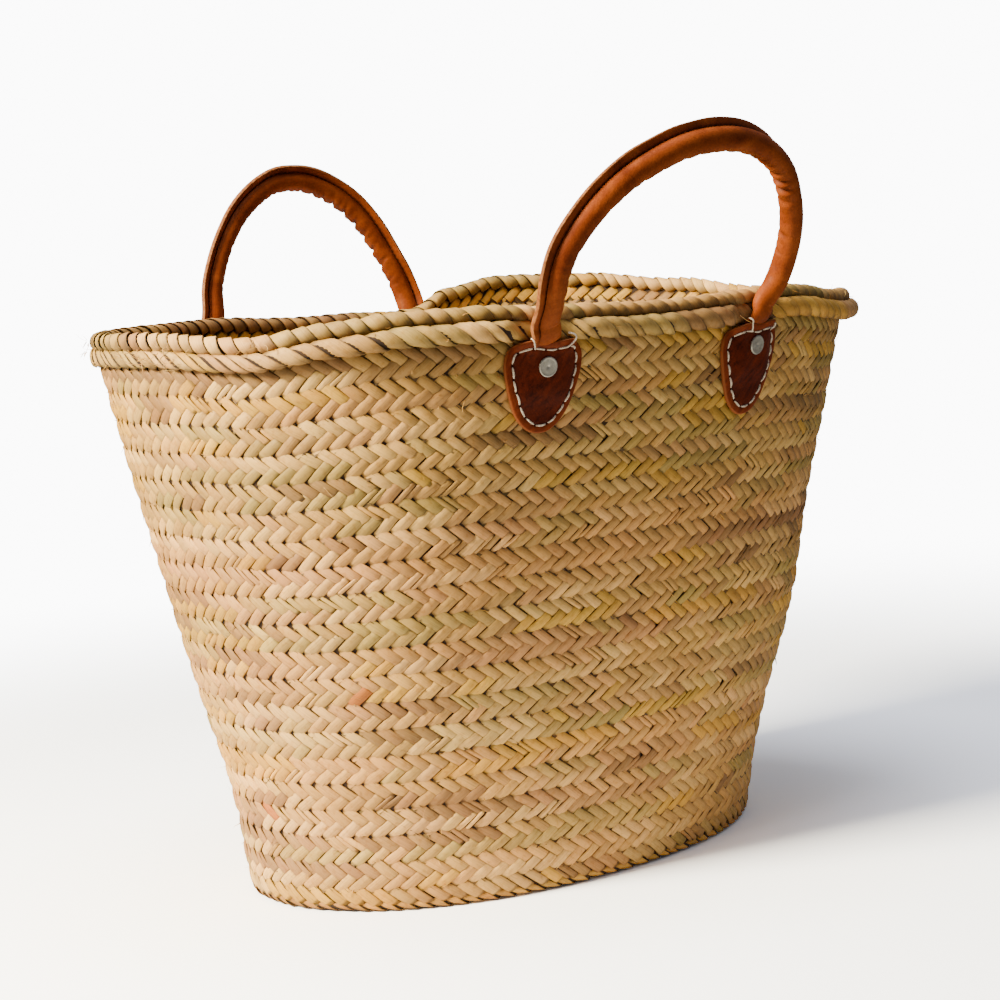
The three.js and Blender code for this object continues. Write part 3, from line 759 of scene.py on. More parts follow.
# Steps that have a section of their own
own_sections = {
    "front": {2: (8.0, 1.7, 0), 3: (7.6, 2.2, 0.1), 4: (7.2, 2.8, 0.3), 5: (6.8, 3.7, 0.85)},
    "back": {8: (5.7, 5.7, 1), 9: (5.6, 5.6, 1), 10: (5.7, 5.7, 1)},
}
# Which way the leather's inner side faces, at the left foot, over the arch and at the right foot
handle_inward = {
    "front": ((0.162, 0.987, 0), (0, 0.883, 0.469), (-0.107, 0.994, 0)),
    "back": ((0.13, -0.991, 0), (0, -0.985, 0.174), (-0.036, -0.999, 0)),
}
# Share of the way along, degrees that the fin turns from straight outside
fin_turns = {
    "front": [
        (0, 0), (0.16, -8), (0.26, -10), (0.36, 16), (0.55, 46), (0.68, 72), (0.76, 40), (0.84, 10), (1, 0),
    ],
    "back": [
        (0, 0), (0.2, 14), (0.26, 23), (0.34, 30), (0.55, 50), (0.68, 66), (0.76, 40), (0.84, 12), (1, 0),
    ],
}


def smooth_route(points, places):
    """Points on a centripetal curve at places counted in steps, and the ways it runs there."""
    points = np.vstack([2 * points[0] - points[1], points, 2 * points[-1] - points[-2]])
    i = np.clip(places.astype(int), 0, len(points) - 4)
    t = (places - i)[:, None]
    p0, p1, p2, p3 = (points[i + k] for k in range(4))
    d0, d1, d2 = (np.linalg.norm(q - p, axis=1)[:, None] ** 0.5 for p, q in ((p0, p1), (p1, p2), (p2, p3)))
    m1 = ((p1 - p0) / d0 - (p2 - p0) / (d0 + d1) + (p2 - p1) / d1) * d1
    m2 = ((p2 - p1) / d1 - (p3 - p1) / (d1 + d2) + (p3 - p2) / d2) * d1
    at = (2 * t**3 - 3 * t**2 + 1) * p1 + (t**3 - 2 * t**2 + t) * m1
    at = at + (3 * t**2 - 2 * t**3) * p2 + (t**3 - t**2) * m2
    way = (6 * t**2 - 6 * t) * (p1 - p2) + (3 * t**2 - 4 * t + 1) * m1 + (3 * t**2 - 2 * t) * m2
    return at, way / np.linalg.norm(way, axis=1)[:, None]


def even_places(points, count):
    """Places along the same curve that lie evenly apart, and its length."""
    fine = np.linspace(0, len(points) - 1, 4000)
    at, way = smooth_route(points, fine)
    length = np.concatenate([[0], np.cumsum(np.linalg.norm(np.diff(at, axis=0), axis=1))])
    return np.interp(np.linspace(0, length[-1], count), length, fine), length[-1]


def bent_grid(name, points, marks, material, sides=4):
    """A flat grid bent through points (rows by columns), its last column sewn to its first,
    its ends closed. marks are numbers laid on its points for the material to read."""
    rows, columns = points.shape[:2]
    bpy.ops.object.select_all(action="DESELECT")
    bpy.ops.mesh.primitive_grid_add(x_subdivisions=rows - 1, y_subdivisions=columns, size=2)
    piece = bpy.context.object
    piece.name = piece.data.name = name
    co = np.empty(len(piece.data.vertices) * 3, np.float32)
    piece.data.vertices.foreach_get("co", co)
    co = co.reshape(-1, 3)
    row = np.rint((co[:, 0] + 1) / 2 * (rows - 1)).astype(int)
    column = np.rint((co[:, 1] + 1) / 2 * columns).astype(int) % columns
    piece.data.vertices.foreach_set("co", (points[row, column] / 1000).astype(np.float32).ravel())
    for key, values in marks.items():
        lay_attribute(piece, key, "FLOAT", "value", values[row, column])
    bpy.ops.object.mode_set(mode="EDIT")
    bpy.ops.mesh.select_all(action="SELECT")
    bpy.ops.mesh.remove_doubles(threshold=2e-6)
    bpy.ops.mesh.select_all(action="SELECT")
    bpy.ops.mesh.fill_holes(sides=sides)
    bpy.ops.mesh.select_all(action="SELECT")
    bpy.ops.mesh.normals_make_consistent(inside=False)
    bpy.ops.object.mode_set(mode="OBJECT")
    bpy.ops.object.shade_smooth_by_angle(angle=math.radians(55))
    piece.select_set(False)
    return settle(piece, material)


def leather_material(name, dark, middle, light, grain):
    """Waxed leather: cloudy colour and fine grain."""
    material, tree, shader = new_material(name)
    place = object_place(tree)
    clouds = noise(tree, place, 48.0, 6.0, Roughness=0.62, Distortion=0.4)
    pores = noise(tree, place, 900.0)
    cells = add_node(tree, "ShaderNodeTexVoronoi", {"Vector": place, "Scale": grain}).outputs["Distance"]
    colour = ramp(tree, clouds, [(0.3, dark), (0.5, middle), (0.72, light)])
    speckle = ramp(tree, pores, [(0.3, 0.78), (0.6, 1.06)])
    colour = mix_colours(tree, "MULTIPLY", 0.8, colour, speckle)
    add_bump(tree, shader, calc(tree, "ADD", cells, pores), 0.4, 0.00012)
    rough = map_range(tree, clouds, (0.3, 0.7), (0.58, 0.44))
    set_inputs(tree, shader, {"Roughness": rough, "Specular IOR Level": 0.07})
    return material, tree, shader, colour


handle_leather, handle_tree, handle_shader, handle_colour = leather_material(
    "handle_leather", (0.10, 0.016, 0.003), (0.195, 0.038, 0.006), (0.30, 0.068, 0.011), 1300.0
)
# Painted shade: the handle leather is darker where its creases sink in and along the groove beside the fin
handle_colour = mix_colours(
    handle_tree, "MIX", mark(handle_tree, "crease_shade"), handle_colour, (0.075, 0.014, 0.004)
)
# Along the seam the leather is darkened as painted shade in the groove, with a beat of darker and paler
# dashes for the stitches
handle_way = add_node(handle_tree, "ShaderNodeUVMap", uv_map="UVMap").outputs["UV"]
handle_along = add_node(handle_tree, "ShaderNodeSeparateXYZ", {0: handle_way}).outputs[0]
stitch_beat = calc(handle_tree, "SINE", calc(handle_tree, "MULTIPLY", handle_along, 640.0), 0.0)
dashes = map_range(handle_tree, stitch_beat, (-0.7, 0.1), (0.55, 0.95))
seam_shade_and_stitch_share = calc(handle_tree, "MULTIPLY", mark(handle_tree, "seam_shade_and_stitches"), dashes)
handle_colour = mix_colours(handle_tree, "MIX", seam_shade_and_stitch_share, handle_colour, (0.035, 0.009, 0.004))
raw_noise = noise(handle_tree, object_place(handle_tree), 500.0)
raw_leather = ramp(handle_tree, raw_noise, [(0.35, (0.15, 0.054, 0.017)), (0.62, (0.30, 0.125, 0.05))])
handle_colour = mix_colours(handle_tree, "MIX", mark(handle_tree, "raw"), handle_colour, raw_leather)
handle_tree.links.new(handle_colour, handle_shader.inputs["Base Color"])

handle_rings = 470
tube_points = 34
# The fin, from one crease round its raw edge to the other: reach, side, raw and seam shares; the seam share
# marks painted shade in the groove and the stitches
fin_form = np.array([
    (-0.16, -0.45, 0, 1), (0.12, -0.72, 0, 0.85), (0.34, -1.0, 0, 0.1), (0.6, -1.0, 0, 0),
    (0.9, -0.98, 0, 0), (0.955, -0.9, 1, 0), (1.0, -0.6, 1, 0), (0.97, 0, 0.55, 0), (1.0, 0.6, 1, 0),
    (0.955, 0.9, 1, 0), (0.9, 0.98, 0, 0), (0.6, 1.0, 0, 0), (0.34, 1.0, 0, 0.1), (0.12, 0.72, 0, 0.85),
    (-0.16, 0.45, 0, 1),
])
out_share, side_share, raw_share, seam_shade_and_stitch_share = fin_form.T[:, None]
# The plain ends under the tabs have no creases
plain_end = 42
# Way along from the left foot in millimetres, degrees from the inner side, depth, width, reach in degrees
strong_creases = {
    "front": (
        (46, 10, 0.9, 1.6, 50), (58, 0, 1.1, 1.8, 50), (72, 0, 0.7, 1.8, 45), (98, 0, 0.9, 2.0, 45),
        (121, 6, 0.8, 1.8, 45), (146, 0, 0.8, 2.0, 40), (158, 0, 0.7, 1.6, 40), (176, 0, 0.8, 1.8, 42),
        (188, 0, 0.9, 1.6, 42), (197, -4, 1.0, 1.5, 45), (206, 0, 1.1, 1.4, 48), (214, 6, 1.1, 1.4, 50),
        (222, 10, 1.3, 1.2, 52), (229.5, 14, 1.9, 1.1, 56), (236, 16, 1.9, 1.1, 56), (244, 14, 0.8, 1.5, 50),
        (266, 10, 0.5, 1.6, 50),
    ),
    "back": (
        (60, 0, 0.5, 1.3, 60), (85, 0, 0.3, 1.5, 45), (150, 20, 0.7, 1.1, 50), (160, 30, 0.8, 1.1, 60),
        (169, 30, 1.0, 1.2, 60), (177, 34, 1.1, 1.2, 60), (185, 36, 1.4, 1.2, 64), (195, 38, 1.4, 1.3, 66),
        (205, 38, 1.5, 1.3, 66), (215, 40, 1.5, 1.3, 66), (225, 40, 1.4, 1.3, 64), (236, 40, 1.3, 1.3, 62),
        (247, 36, 1.1, 1.2, 60), (259, 30, 0.8, 1.2, 60),
    ),
}


def crease_depth(name, way, off_inner, seed):
    """How far the leather sinks or swells, by the way along and the angle off the inner side."""
    rng = np.random.default_rng(seed)
    creases = list(strong_creases[name])
    # Small creases lie between the strong ones, all along the arch
    at, last = 48.0, 300
    while at < last:
        at += rng.uniform(5.0, 9.0)
        measures = [rng.uniform(*pair) for pair in ((-25, 25), (0.2, 0.5), (0.9, 1.5), (30, 50))]
        creases.append((at, *measures))
    sink = np.zeros(np.broadcast(way, off_inner).shape)
    for at, middle, depth, width, reach in creases:
        skew = 0.045 if middle > 25 else 0.012
        off = (off_inner - middle + 180) % 360 - 180
        along = (way - at - skew * off) / width
        hold = np.exp(-((off / reach) ** 2))
        sink = sink + depth * hold * (np.exp(-(along**2)) - 0.38 * np.exp(-((along - 2.4) ** 2) / 1.5))
    return sink


for side_name, side, seed in (("front", -1, 51), ("back", 1, 52)):
    steps = np.array(handle_routes[side_name], float)
    places, handle_length = even_places(steps, handle_rings)
    middle, along = smooth_route(steps, places)
    count, foot_steps = len(steps), len(foot_sections)
    sections = np.tile((tube_radius, tube_radius, 1), (count, 1))
    sections[:foot_steps] = foot_sections
    sections[-foot_steps:] = foot_sections[::-1]
    for step, section in own_sections[side_name].items():
        sections[step] = section
    across, through, fin = (np.interp(places, np.arange(count), sections[:, k]) for k in range(3))
    left_in, arch_in, right_in = (np.array(v) for v in handle_inward[side_name])
    own_in = np.array([left_in] * foot_steps + [arch_in] * (count - 2 * foot_steps) + [right_in] * foot_steps)
    inside_way = np.stack([np.interp(places, np.arange(count), own_in[:, k]) for k in range(3)], -1)
    depth = inside_way - (inside_way * along).sum(1)[:, None] * along
    depth /= np.linalg.norm(depth, axis=1)[:, None]
    outside_way = np.cross(depth, along)
    outside_way /= np.linalg.norm(outside_way, axis=1)[:, None]
    arch_foot = (steps[foot_steps - 1] + steps[-foot_steps]) / 2
    outside_way *= np.where(((middle - arch_foot) * outside_way).sum(1) < 0, -1, 1)[:, None]
    turns = np.array(fin_turns[side_name], float)
    tilt = np.radians(np.interp(places / (count - 1), turns[:, 0], turns[:, 1]))[:, None]
    half = np.minimum(fin_thickness / 2, through * 0.8)[:, None]
    corner = np.arcsin(half / np.minimum(across, through)[:, None])
    share = np.linspace(0, 1, tube_points)[None, :]
    angle = tilt + corner + (2 * math.pi - 2 * corner) * share
    way_along = np.linspace(0, handle_length, handle_rings)[:, None]
    sink = crease_depth(side_name, way_along, np.degrees(angle) - 180, seed)
    for from_end in (way_along, handle_length - way_along):
        sink *= np.clip((from_end - plain_end) / 8, 0, 1)
    tube = np.stack([(across[:, None] - sink) * np.cos(angle), (through[:, None] - sink) * np.sin(angle)], -1)
    base = across[:, None] * np.cos(tilt) ** 2 + through[:, None] * np.sin(tilt) ** 2
    reach = fin_reach * fin[:, None]
    wave = 0.25 * np.sin(way_along / 9.0 + seed) + 0.15 * np.sin(way_along / 3.7)
    outwards = base + reach * out_share + wave * np.clip(out_share, 0, 1) * 0.5 * fin[:, None]
    sideways = half * side_share
    edge = np.stack([
        outwards * np.cos(tilt) - sideways * np.sin(tilt), outwards * np.sin(tilt) + sideways * np.cos(tilt)
    ], -1)
    section = np.concatenate([tube, edge], 1)
    points = (
        middle[:, None] + section[..., :1] * outside_way[:, None] + section[..., 1:] * depth[:, None]
    )
    blank = np.zeros_like(sink)
    raw = raw_share * (fin[:, None] > 0.3)
    # The seam mark is painted shade along the groove beside the fin, with the stitch dashes; a share of it
    # also darkens the crease mark
    seam_shade_and_stitches = seam_shade_and_stitch_share * fin[:, None]
    handle = bent_grid(
        "handle_leather_" + side_name, points,
        {
            "crease_shade": np.concatenate([np.clip(sink * 0.75, 0, 0.75), seam_shade_and_stitches * 0.3], 1),
            "raw": np.concatenate([blank, raw], 1),
            "seam_shade_and_stitches": np.concatenate([blank, seam_shade_and_stitches], 1),
        },
        handle_leather, sides=60,
    )
    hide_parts("handle_" + side_name)

# The four tabs: thick dark leather shields over the ends of the handles, with a paler band
# outside a running stitch, rounded edges and a soft hollow along the stitches.
tab_width = 44.0
tab_height = 46.0
tab_thickness = 2.2
tab_top = 281.9
stitch_inset = 4.0
tab_columns = 168
# Share down, half width share, drift share
tab_outline = (
    (0, 0.54, 0.03), (0.045, 0.80, 0.025), (0.13, 0.96, 0.01), (0.27, 1, 0), (0.45, 0.93, -0.01),
    (0.63, 0.81, -0.025), (0.8, 0.65, -0.04), (0.91, 0.46, -0.05), (0.98, 0.24, -0.055), (1, 0.06, -0.06),
)
# Millimetres down, how far the back stands off the wall in the middle
tab_back_out = np.array([
    (-3, 8.0), (-2, 7.2), (-1, 6.4), (0, 5.8), (2, 4.9), (4, 4.3), (6, 3.95), (8, 3.78), (12, 3.6),
    (18, 3.55), (22, 3.25), (24, 2.9), (26, 2.3), (28, 1.5), (30, 0.85), (32, 0.45), (35, 0.3), (50, 0.3),
])


def on_tab(foot, side, across, down, out):
    """A point over the tab's place, by the way across and down it and the distance off the wall."""
    lip = np.clip((4 - down) / 4, 0, 1)
    beside = np.clip((np.abs(across) - 9 - 3 * lip) / (8.8 - 2 * lip), 0, 1)
    raised = np.interp(down, tab_back_out[:, 0], tab_back_out[:, 1]) - 0.3
    back = 0.3 + raised * (1 - beside**2 * (3 - 2 * beside))
    height = tab_top - down
    turn = np.linspace(180, 360, 721) if side < 0 else np.linspace(180, 0, 721)
    line = wall_point(turn, tab_top - 20)[:, 0]
    at = np.interp(foot + across, line, turn)
    for _ in range(3):
        miss = wall_point(at, height)[..., 0] - (foot + across)
        slope = (wall_point(at + 0.5, height)[..., 0] - wall_point(at - 0.5, height)[..., 0])
        at = at - miss / slope
    return wall_point(at, height, back + out)


tab_leather, tab_tree, tab_shader, tab_colour = leather_material(
    "tab_leather", (0.048, 0.006, 0.002), (0.08, 0.010, 0.0025), (0.13, 0.018, 0.004), 900.0
)
tab_lean = add_node(
    tab_tree, "ShaderNodeMapping", {"Vector": object_place(tab_tree), "Rotation": (0, math.radians(48), 0)}
).outputs[0]
tab_grain = noise(tab_tree, stretched(tab_tree, tab_lean, (60, 500, 420)), 1.0, 4.0, Roughness=0.6)
tab_streaks = ramp(
    tab_tree, tab_grain, [(0.33, (0.45, 0.38, 0.36)), (0.5, (1, 1, 1)), (0.7, (1.3, 1.25, 1.15))]
)
tab_colour = mix_colours(tab_tree, "MULTIPLY", 0.85, tab_colour, tab_streaks)
tab_inset = calc(tab_tree, "DIVIDE", mark(tab_tree, "inset"), 8.0)
tab_band = ramp(tab_tree, tab_inset, [(0.44, 1.0), (0.56, 0.0)])
band_colour = ramp(tab_tree, tab_grain, [(0.3, (0.11, 0.016, 0.004)), (0.65, (0.19, 0.034, 0.008))])
tab_colour = mix_colours(tab_tree, "MIX", tab_band, tab_colour, band_colour)
tab_edge = ramp(tab_tree, tab_inset, [(0.02, 1.0), (0.09, 0.0)])
tab_colour = mix_colours(tab_tree, "MIX", tab_edge, tab_colour, (0.27, 0.08, 0.025))
# The stitch holes are painted near black: painted shade inside the holes
tab_colour = mix_colours(tab_tree, "MIX", mark(tab_tree, "hole"), tab_colour, (0.012, 0.004, 0.002))
tab_tree.links.new(tab_colour, tab_shader.inputs["Base Color"])

thread, thread_tree, thread_shader = new_material("white_thread")
thread_noise = noise(thread_tree, object_place(thread_tree), 1400.0, 2.0)
thread_colour = ramp(thread_tree, thread_noise, [(0.35, (0.50, 0.38, 0.28)), (0.6, (0.80, 0.70, 0.60))])
set_inputs(thread_tree, thread_shader, {"Base Color": thread_colour, "Roughness": 0.7})
add_bump(thread_tree, thread_shader, thread_noise, 0.6, 0.0002)


def tube_along(path, radius, sides=8, squash=1.0):
    """Rings of points round a path, of the radius given at each point."""
    way = np.gradient(path, axis=0)
    way /= np.linalg.norm(way, axis=1)[:, None]
    first = np.cross(way, np.array([0.3, 0.2, 1.0]))
    first /= np.linalg.norm(first, axis=1)[:, None]
    second = np.cross(way, first)
    angle = np.linspace(0, 2 * math.pi, sides, endpoint=False)[None, :, None]
    reach = np.broadcast_to(np.asarray(radius, float), (len(path),))[:, None, None]
    return path[:, None] + reach * (np.cos(angle) * first[:, None] + squash * np.sin(angle) * second[:, None])


def joined_tubes(name, tubes, material, tints=None):
    """Many small tubes as one mesh, each closed at both ends."""
    faces, colours = [], []
    start = 0
    for number, tube in enumerate(tubes):
        rings, sides = tube.shape[:2]
        for i in range(rings - 1):
            for k in range(sides):
                a, b = start + i * sides + k, start + i * sides + (k + 1) % sides
                faces.append((a, b, b + sides, a + sides))
        faces.append(tuple(start + k for k in range(sides))[::-1])
        faces.append(tuple(start + (rings - 1) * sides + k for k in range(sides)))
        if tints is not None:
            colours.append(np.tile(np.append(tints[number], 1.0), (rings * sides, 1)))
        start += rings * sides
    points = np.concatenate([tube.reshape(-1, 3) for tube in tubes])
    corners = np.concatenate([np.asarray(face) for face in faces])
    made = mesh_object(name, points, corners, np.array([len(face) for face in faces]))
    if tints is not None:
        lay_attribute(made, "straw_tint", "FLOAT_COLOR", "color", np.concatenate(colours))
        lay_uv(made, "strip", points[:, [0, 2]][corners])
    face_outwards(made)
    return settle(made, material)


right_side = [((drift + half / 2) * tab_width, down * tab_height) for down, half, drift in tab_outline]
left_side = [((drift - half / 2) * tab_width, down * tab_height) for down, half, drift in tab_outline]
outline_points = np.array([(0.6, 0.9)] + right_side + left_side[::-1] + [(0.6, 0.9)])
outline_points = np.column_stack([outline_points, np.zeros(len(outline_points))])
outline_places, _ = even_places(outline_points, tab_columns + 1)
outline, outline_way = smooth_route(outline_points, outline_places)
outline, outline_way = outline[:-1, :2], outline_way[:-1, :2]
outline_in = np.column_stack([-outline_way[:, 1], outline_way[:, 0]])
tab_middle = np.array([-0.4, 18.0])
outline_in *= np.where(((tab_middle - outline) * outline_in).sum(1) < 0, -1, 1)[:, None]
stitch_line = outline + outline_in * stitch_inset
stitch_ring = np.vstack([stitch_line, stitch_line[:1]])
stitch_way = np.concatenate([[0], np.cumsum(np.linalg.norm(np.diff(stitch_ring, axis=0), axis=1))])
stitch_count = 18
stitch_pitch = stitch_way[-1] / stitch_count
hole_ways = (np.arange(stitch_count) + 0.5) * stitch_pitch
stitch_holes = np.stack([np.interp(hole_ways, stitch_way, stitch_ring[:, k]) for k in range(2)], -1)


def tab_surface(points, inset):
    """How thick the tab is there, its edge rounded and its stitches sunk in."""
    hollow = 0.4 * np.exp(-(((inset - stitch_inset) / 0.8) ** 2))
    away = np.linalg.norm(points[..., None, :] - stitch_holes, axis=-1).min(-1)
    hole = np.exp(-((away / 0.75) ** 2))
    rounded = np.interp(inset, (0, 0.25, 0.7, 1.5, 2.4), (0.5, 0.78, 0.93, 1.0, 1.04))
    return tab_thickness * rounded - hollow - 0.5 * hole, hole


def tab_rings():
    """Rings of the tab's pattern, from the middle of its back round the edge to the middle of
    its front: places, height over the back, way in from the edge and share of a hole."""
    inmost = 6.4
    inner = outline + outline_in * inmost
    to_middle = tab_middle - inner
    rings = [(inner + to_middle * share, 0, 0, 0) for share in (1.0, 0.8, 0.4)]
    for inset, out in ((inmost, 0), (1.5, 0), (0.25, 0.05), (0, 0.3)):
        rings.append((outline + outline_in * inset, out, 0, 0))
    for inset in (0, 0.12, 0.3, 0.7, 1.3, 2.1, 2.9, 3.4, 3.8, 4.2, 4.6, 5.0, 5.6, inmost):
        at = outline + outline_in * inset
        thick, hole = tab_surface(at, inset)
        rings.append((at, thick, inset, hole))
    for share in (0.2, 0.4, 0.6, 0.78, 0.92, 1.0):
        rings.append((inner + to_middle * share, tab_thickness * 1.04, inmost + 10 * share, 0))
    places, *rest = zip(*rings)
    rest = [np.array([np.broadcast_to(value, tab_columns) for value in values]) for values in rest]
    return np.array(places), *rest


flat, thick, inset, hole = tab_rings()
# Name, foot, side, and how each was cut and set: width and height share, raised by
tab_feet = (
    ("front_left", -70.4, -1, 0.97, 0.965, 2.2), ("front_right", 66.4, -1, 0.98, 1.03, 1.2),
    ("back_left", -70.0, 1, 0.98, 1.0, 1.6), ("back_right", 67.0, 1, 0.99, 0.98, 2.0),
)


def over_tab(tab_form, at, out):
    """at holds places across and down the pattern of the tab that tab_form describes."""
    _, foot, side, wide, high, raised = tab_form
    return on_tab(foot, side, at[..., 0] * wide * -side, at[..., 1] * high - raised, out)


# Ends of thread that run over the top edge: across, down and height over the back
thread_ends = {
    "front_left": (
        ((-8.6, 4.4, 2.4), (-9.6, 2.6, 3.1), (-10.6, 0.8, 3.2), (-11.3, -0.4, 2.4), (-11.5, -0.8, 0.6)),
        (
            (8.4, 4.2, 2.4), (10.2, 3.0, 3.3), (11.4, 1.0, 3.9), (11.2, -1.2, 4.0), (9.8, -2.6, 3.6),
            (7.8, -3.2, 2.2),
        ),
    ),
    "front_right": (
        ((-5.0, 4.2, 2.4), (-6.2, 2.6, 3.2), (-8.4, 0.4, 3.8), (-10.2, -1.8, 3.6), (-11.0, -3.0, 1.6)),
        ((11.8, 4.6, 2.6), (12.8, 3.4, 3.6), (13.2, 2.2, 3.2), (12.4, 1.8, 2.6)),
    ),
    "back_left": (
        ((8.6, 4.4, 2.4), (9.6, 2.6, 3.1), (10.6, 0.8, 3.2), (11.3, -0.4, 2.4), (11.5, -0.8, 0.6)),
    ),
    "back_right": (((-6.6, 4.4, 2.4), (-8.2, 2.2, 3.2), (-9.6, 0.2, 3.4), (-10.6, -0.8, 2.0)),),
}
for number, tab_form in enumerate(tab_feet):
    tab_name = tab_form[0]
    rng = np.random.default_rng(60 + number)
    buckle = 0.18 * np.sin(flat[..., 0] / 6.0 + number) * np.sin(flat[..., 1] / 7.5 + 2 * number)
    tab = bent_grid(
        "tab_leather_" + tab_name, over_tab(tab_form, flat, thick + buckle * (thick > 0.4)),
        {"inset": inset, "hole": np.clip(hole * 1.3 - 0.25, 0, 1)},
        tab_leather,
    )
    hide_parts("tab_" + tab_name)
    # Its running stitch: short lengths of white thread between the holes
    stitches = []
    for k in range(stitch_count):
        way = hole_ways[k] + np.linspace(0.1, 0.9, 9) * stitch_pitch
        at = np.stack([np.interp(way % stitch_way[-1], stitch_way, stitch_ring[:, c]) for c in range(2)], -1)
        at = at + rng.normal(0, 0.12, 2)
        bow = np.sin(np.linspace(0.04, 0.96, 9) * math.pi)
        out = tab_thickness - 0.75 + 1.0 * bow**0.6
        stitches.append(tube_along(over_tab(tab_form, at, out), 0.52 * (0.55 + 0.45 * bow**0.5)))
    for end in thread_ends[tab_name]:
        end = np.array(end)
        at, _ = smooth_route(end, np.linspace(0, len(end) - 1, 14))
        stitches.append(tube_along(over_tab(tab_form, at[:, :2], at[:, 2]), np.full(14, 0.42)))
    joined_tubes("stitches_" + tab_name, stitches, thread)

# The four rivets: flat nickel-plated heads with a turned rim and a small punch mark, on a
# post through tab, handle and wall, with a plain cap inside the basket.
nickel, nickel_tree, nickel_shader = new_material("nickel")
nickel_noise = noise(nickel_tree, object_place(nickel_tree), 420.0, 5.0, Roughness=0.7)
nickel_colour = ramp(nickel_tree, nickel_noise, [(0.3, (0.30, 0.28, 0.25)), (0.65, (0.52, 0.50, 0.46))])
nickel_rough = map_range(nickel_tree, nickel_noise, (0.3, 0.7), (0.52, 0.34))
set_inputs(nickel_tree, nickel_shader, {
    "Base Color": nickel_colour, "Roughness": nickel_rough, "Metallic": 0.85,
})
add_bump(nickel_tree, nickel_shader, nickel_noise, 0.3, 0.0001)
# Seat, outward way, length of the post
rivet_seats = {
    "front_left": ((-72.099, -144.644, 272.294), (-0.185, -0.967, -0.176), 9.731),
    "front_right": ((67.5, -146.661, 270.639), (0.103, -0.976, -0.194), 9.694),
    "back_left": ((-70.617, 143.709, 270.483), (-0.162, 0.968, -0.191), 9.701),
    "back_right": ((67.408, 139.265, 270.451), (0.073, 0.982, -0.176), 9.732),
}
# Radius and height over the seat, from the punch mark round the rim to the post
rivet_head = (
    (0.0, 0.62), (0.35, 0.66), (0.7, 0.86), (1.0, 0.95), (2.4, 0.97), (3.7, 0.93), (4.05, 0.98), (4.45, 1.12),
    (4.8, 1.02), (5.0, 0.72), (5.0, 0.2), (4.7, 0.0), (1.9, 0.0),
)
rivet_sides = 48
for rivet_name, (seat, outward, reach) in rivet_seats.items():
    seat, outward = np.array(seat), np.array(outward)
    outward = outward / np.linalg.norm(outward)
    first = np.cross(outward, (0, 0, 1.0))
    first /= np.linalg.norm(first)
    second = np.cross(outward, first)
    cap = (
        (1.9, -reach), (4.6, -reach), (5.0, -reach - 0.3), (4.6, -reach - 0.9), (2.5, -reach - 1.2),
        (0.0, -reach - 1.2),
    )
    profile = np.array(rivet_head + cap)
    angle = np.linspace(0, 2 * math.pi, rivet_sides, endpoint=False)[None, :, None]
    points = seat + profile[:, 1, None, None] * outward + profile[:, 0, None, None] * (
        np.cos(angle) * first + np.sin(angle) * second
    )
    rivet = bent_grid("rivet_metal_" + rivet_name, points, {}, nickel)
    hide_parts("rivet_" + rivet_name)


# Loose ends: where straw was cut or has split, fibres stand off the rim and the wall, most
# of all at the two ends of the rim, where the rolls are closed.
def loose_fibre(rng, start, way, length, curl, width):
    """A thin flat fibre that starts in the straw and bends as it goes."""
    steps = 9
    way = np.array(way, float) / np.linalg.norm(way)
    bend = rng.normal(0, 1, 3) * curl
    path = [np.array(start, float)]
    for k in range(steps - 1):
        way = way + bend / steps + rng.normal(0, 0.05, 3)
        way /= np.linalg.norm(way)
        path.append(path[-1] + way * length / (steps - 1))
    taper = np.interp(np.arange(steps), (0, steps * 0.6, steps - 1), (1, 0.8, 0.25))
    return tube_along(np.array(path), width / 2 * taper, sides=5, squash=0.35)


fibres, fibre_tints = [], []
fibre_rng = np.random.default_rng(71)


def add_fibre(start, way, lengths, curls, widths, kinds, shades):
    """One more fibre. Each pair holds the least and the most of a measure."""
    measures = [fibre_rng.uniform(*pair) for pair in (lengths, curls, widths)]
    fibres.append(loose_fibre(fibre_rng, start, way, *measures))
    fibre_tints.append(straw_colours[fibre_rng.choice(kinds)] * fibre_rng.uniform(*shades))


def wall_ways(turn, level, out):
    """A place off the wall, the way out of the wall and the way along it."""
    start = wall_point(turn, level, out)
    normal = wall_point(turn, level, out + 1) - start
    along = wall_point(turn + 0.5, level, out) - start
    return start, normal, along / np.linalg.norm(along)


# Along the rim: degrees round, spread, count, level, lengths
for turn_middle, turn_spread, count, level, lengths in (
    (184, 5, 26, 289, (5, 13)), (352, 5, 16, 293, (5, 16)), (250, 110, 60, 292, (3, 8)),
    (90, 80, 30, 292, (3, 8)),
):
    for _ in range(count):
        turn = turn_middle + fibre_rng.uniform(-1, 1) * turn_spread
        lift = level + fibre_rng.uniform(-7, 5)
        start, normal, along = wall_ways(turn, lift, 5.0 if lift < 293 else 3.0)
        way = normal * fibre_rng.uniform(0.3, 1.0) + along * fibre_rng.normal(0, 0.9)
        way = way + np.array([0, 0, fibre_rng.normal(0, 0.5)])
        add_fibre(start, way, lengths, (0.3, 1.4), (0.35, 0.9), 4, (0.8, 1.15))
# Split off the strips of the wall
for _ in range(150):
    turn, level = fibre_rng.uniform(0, 360), fibre_rng.uniform(12, 275)
    start, normal, along = wall_ways(turn, level, 0.1)
    lean = fibre_rng.choice((-1, 1)) * 0.8 + fibre_rng.normal(0, 0.15)
    way = along * fibre_rng.choice((-1, 1)) + np.array([0, 0, lean]) + normal * fibre_rng.uniform(0.1, 0.45)
    add_fibre(start, way, (3, 9), (0.2, 0.8), (0.3, 0.8), 5, (0.75, 1.1))
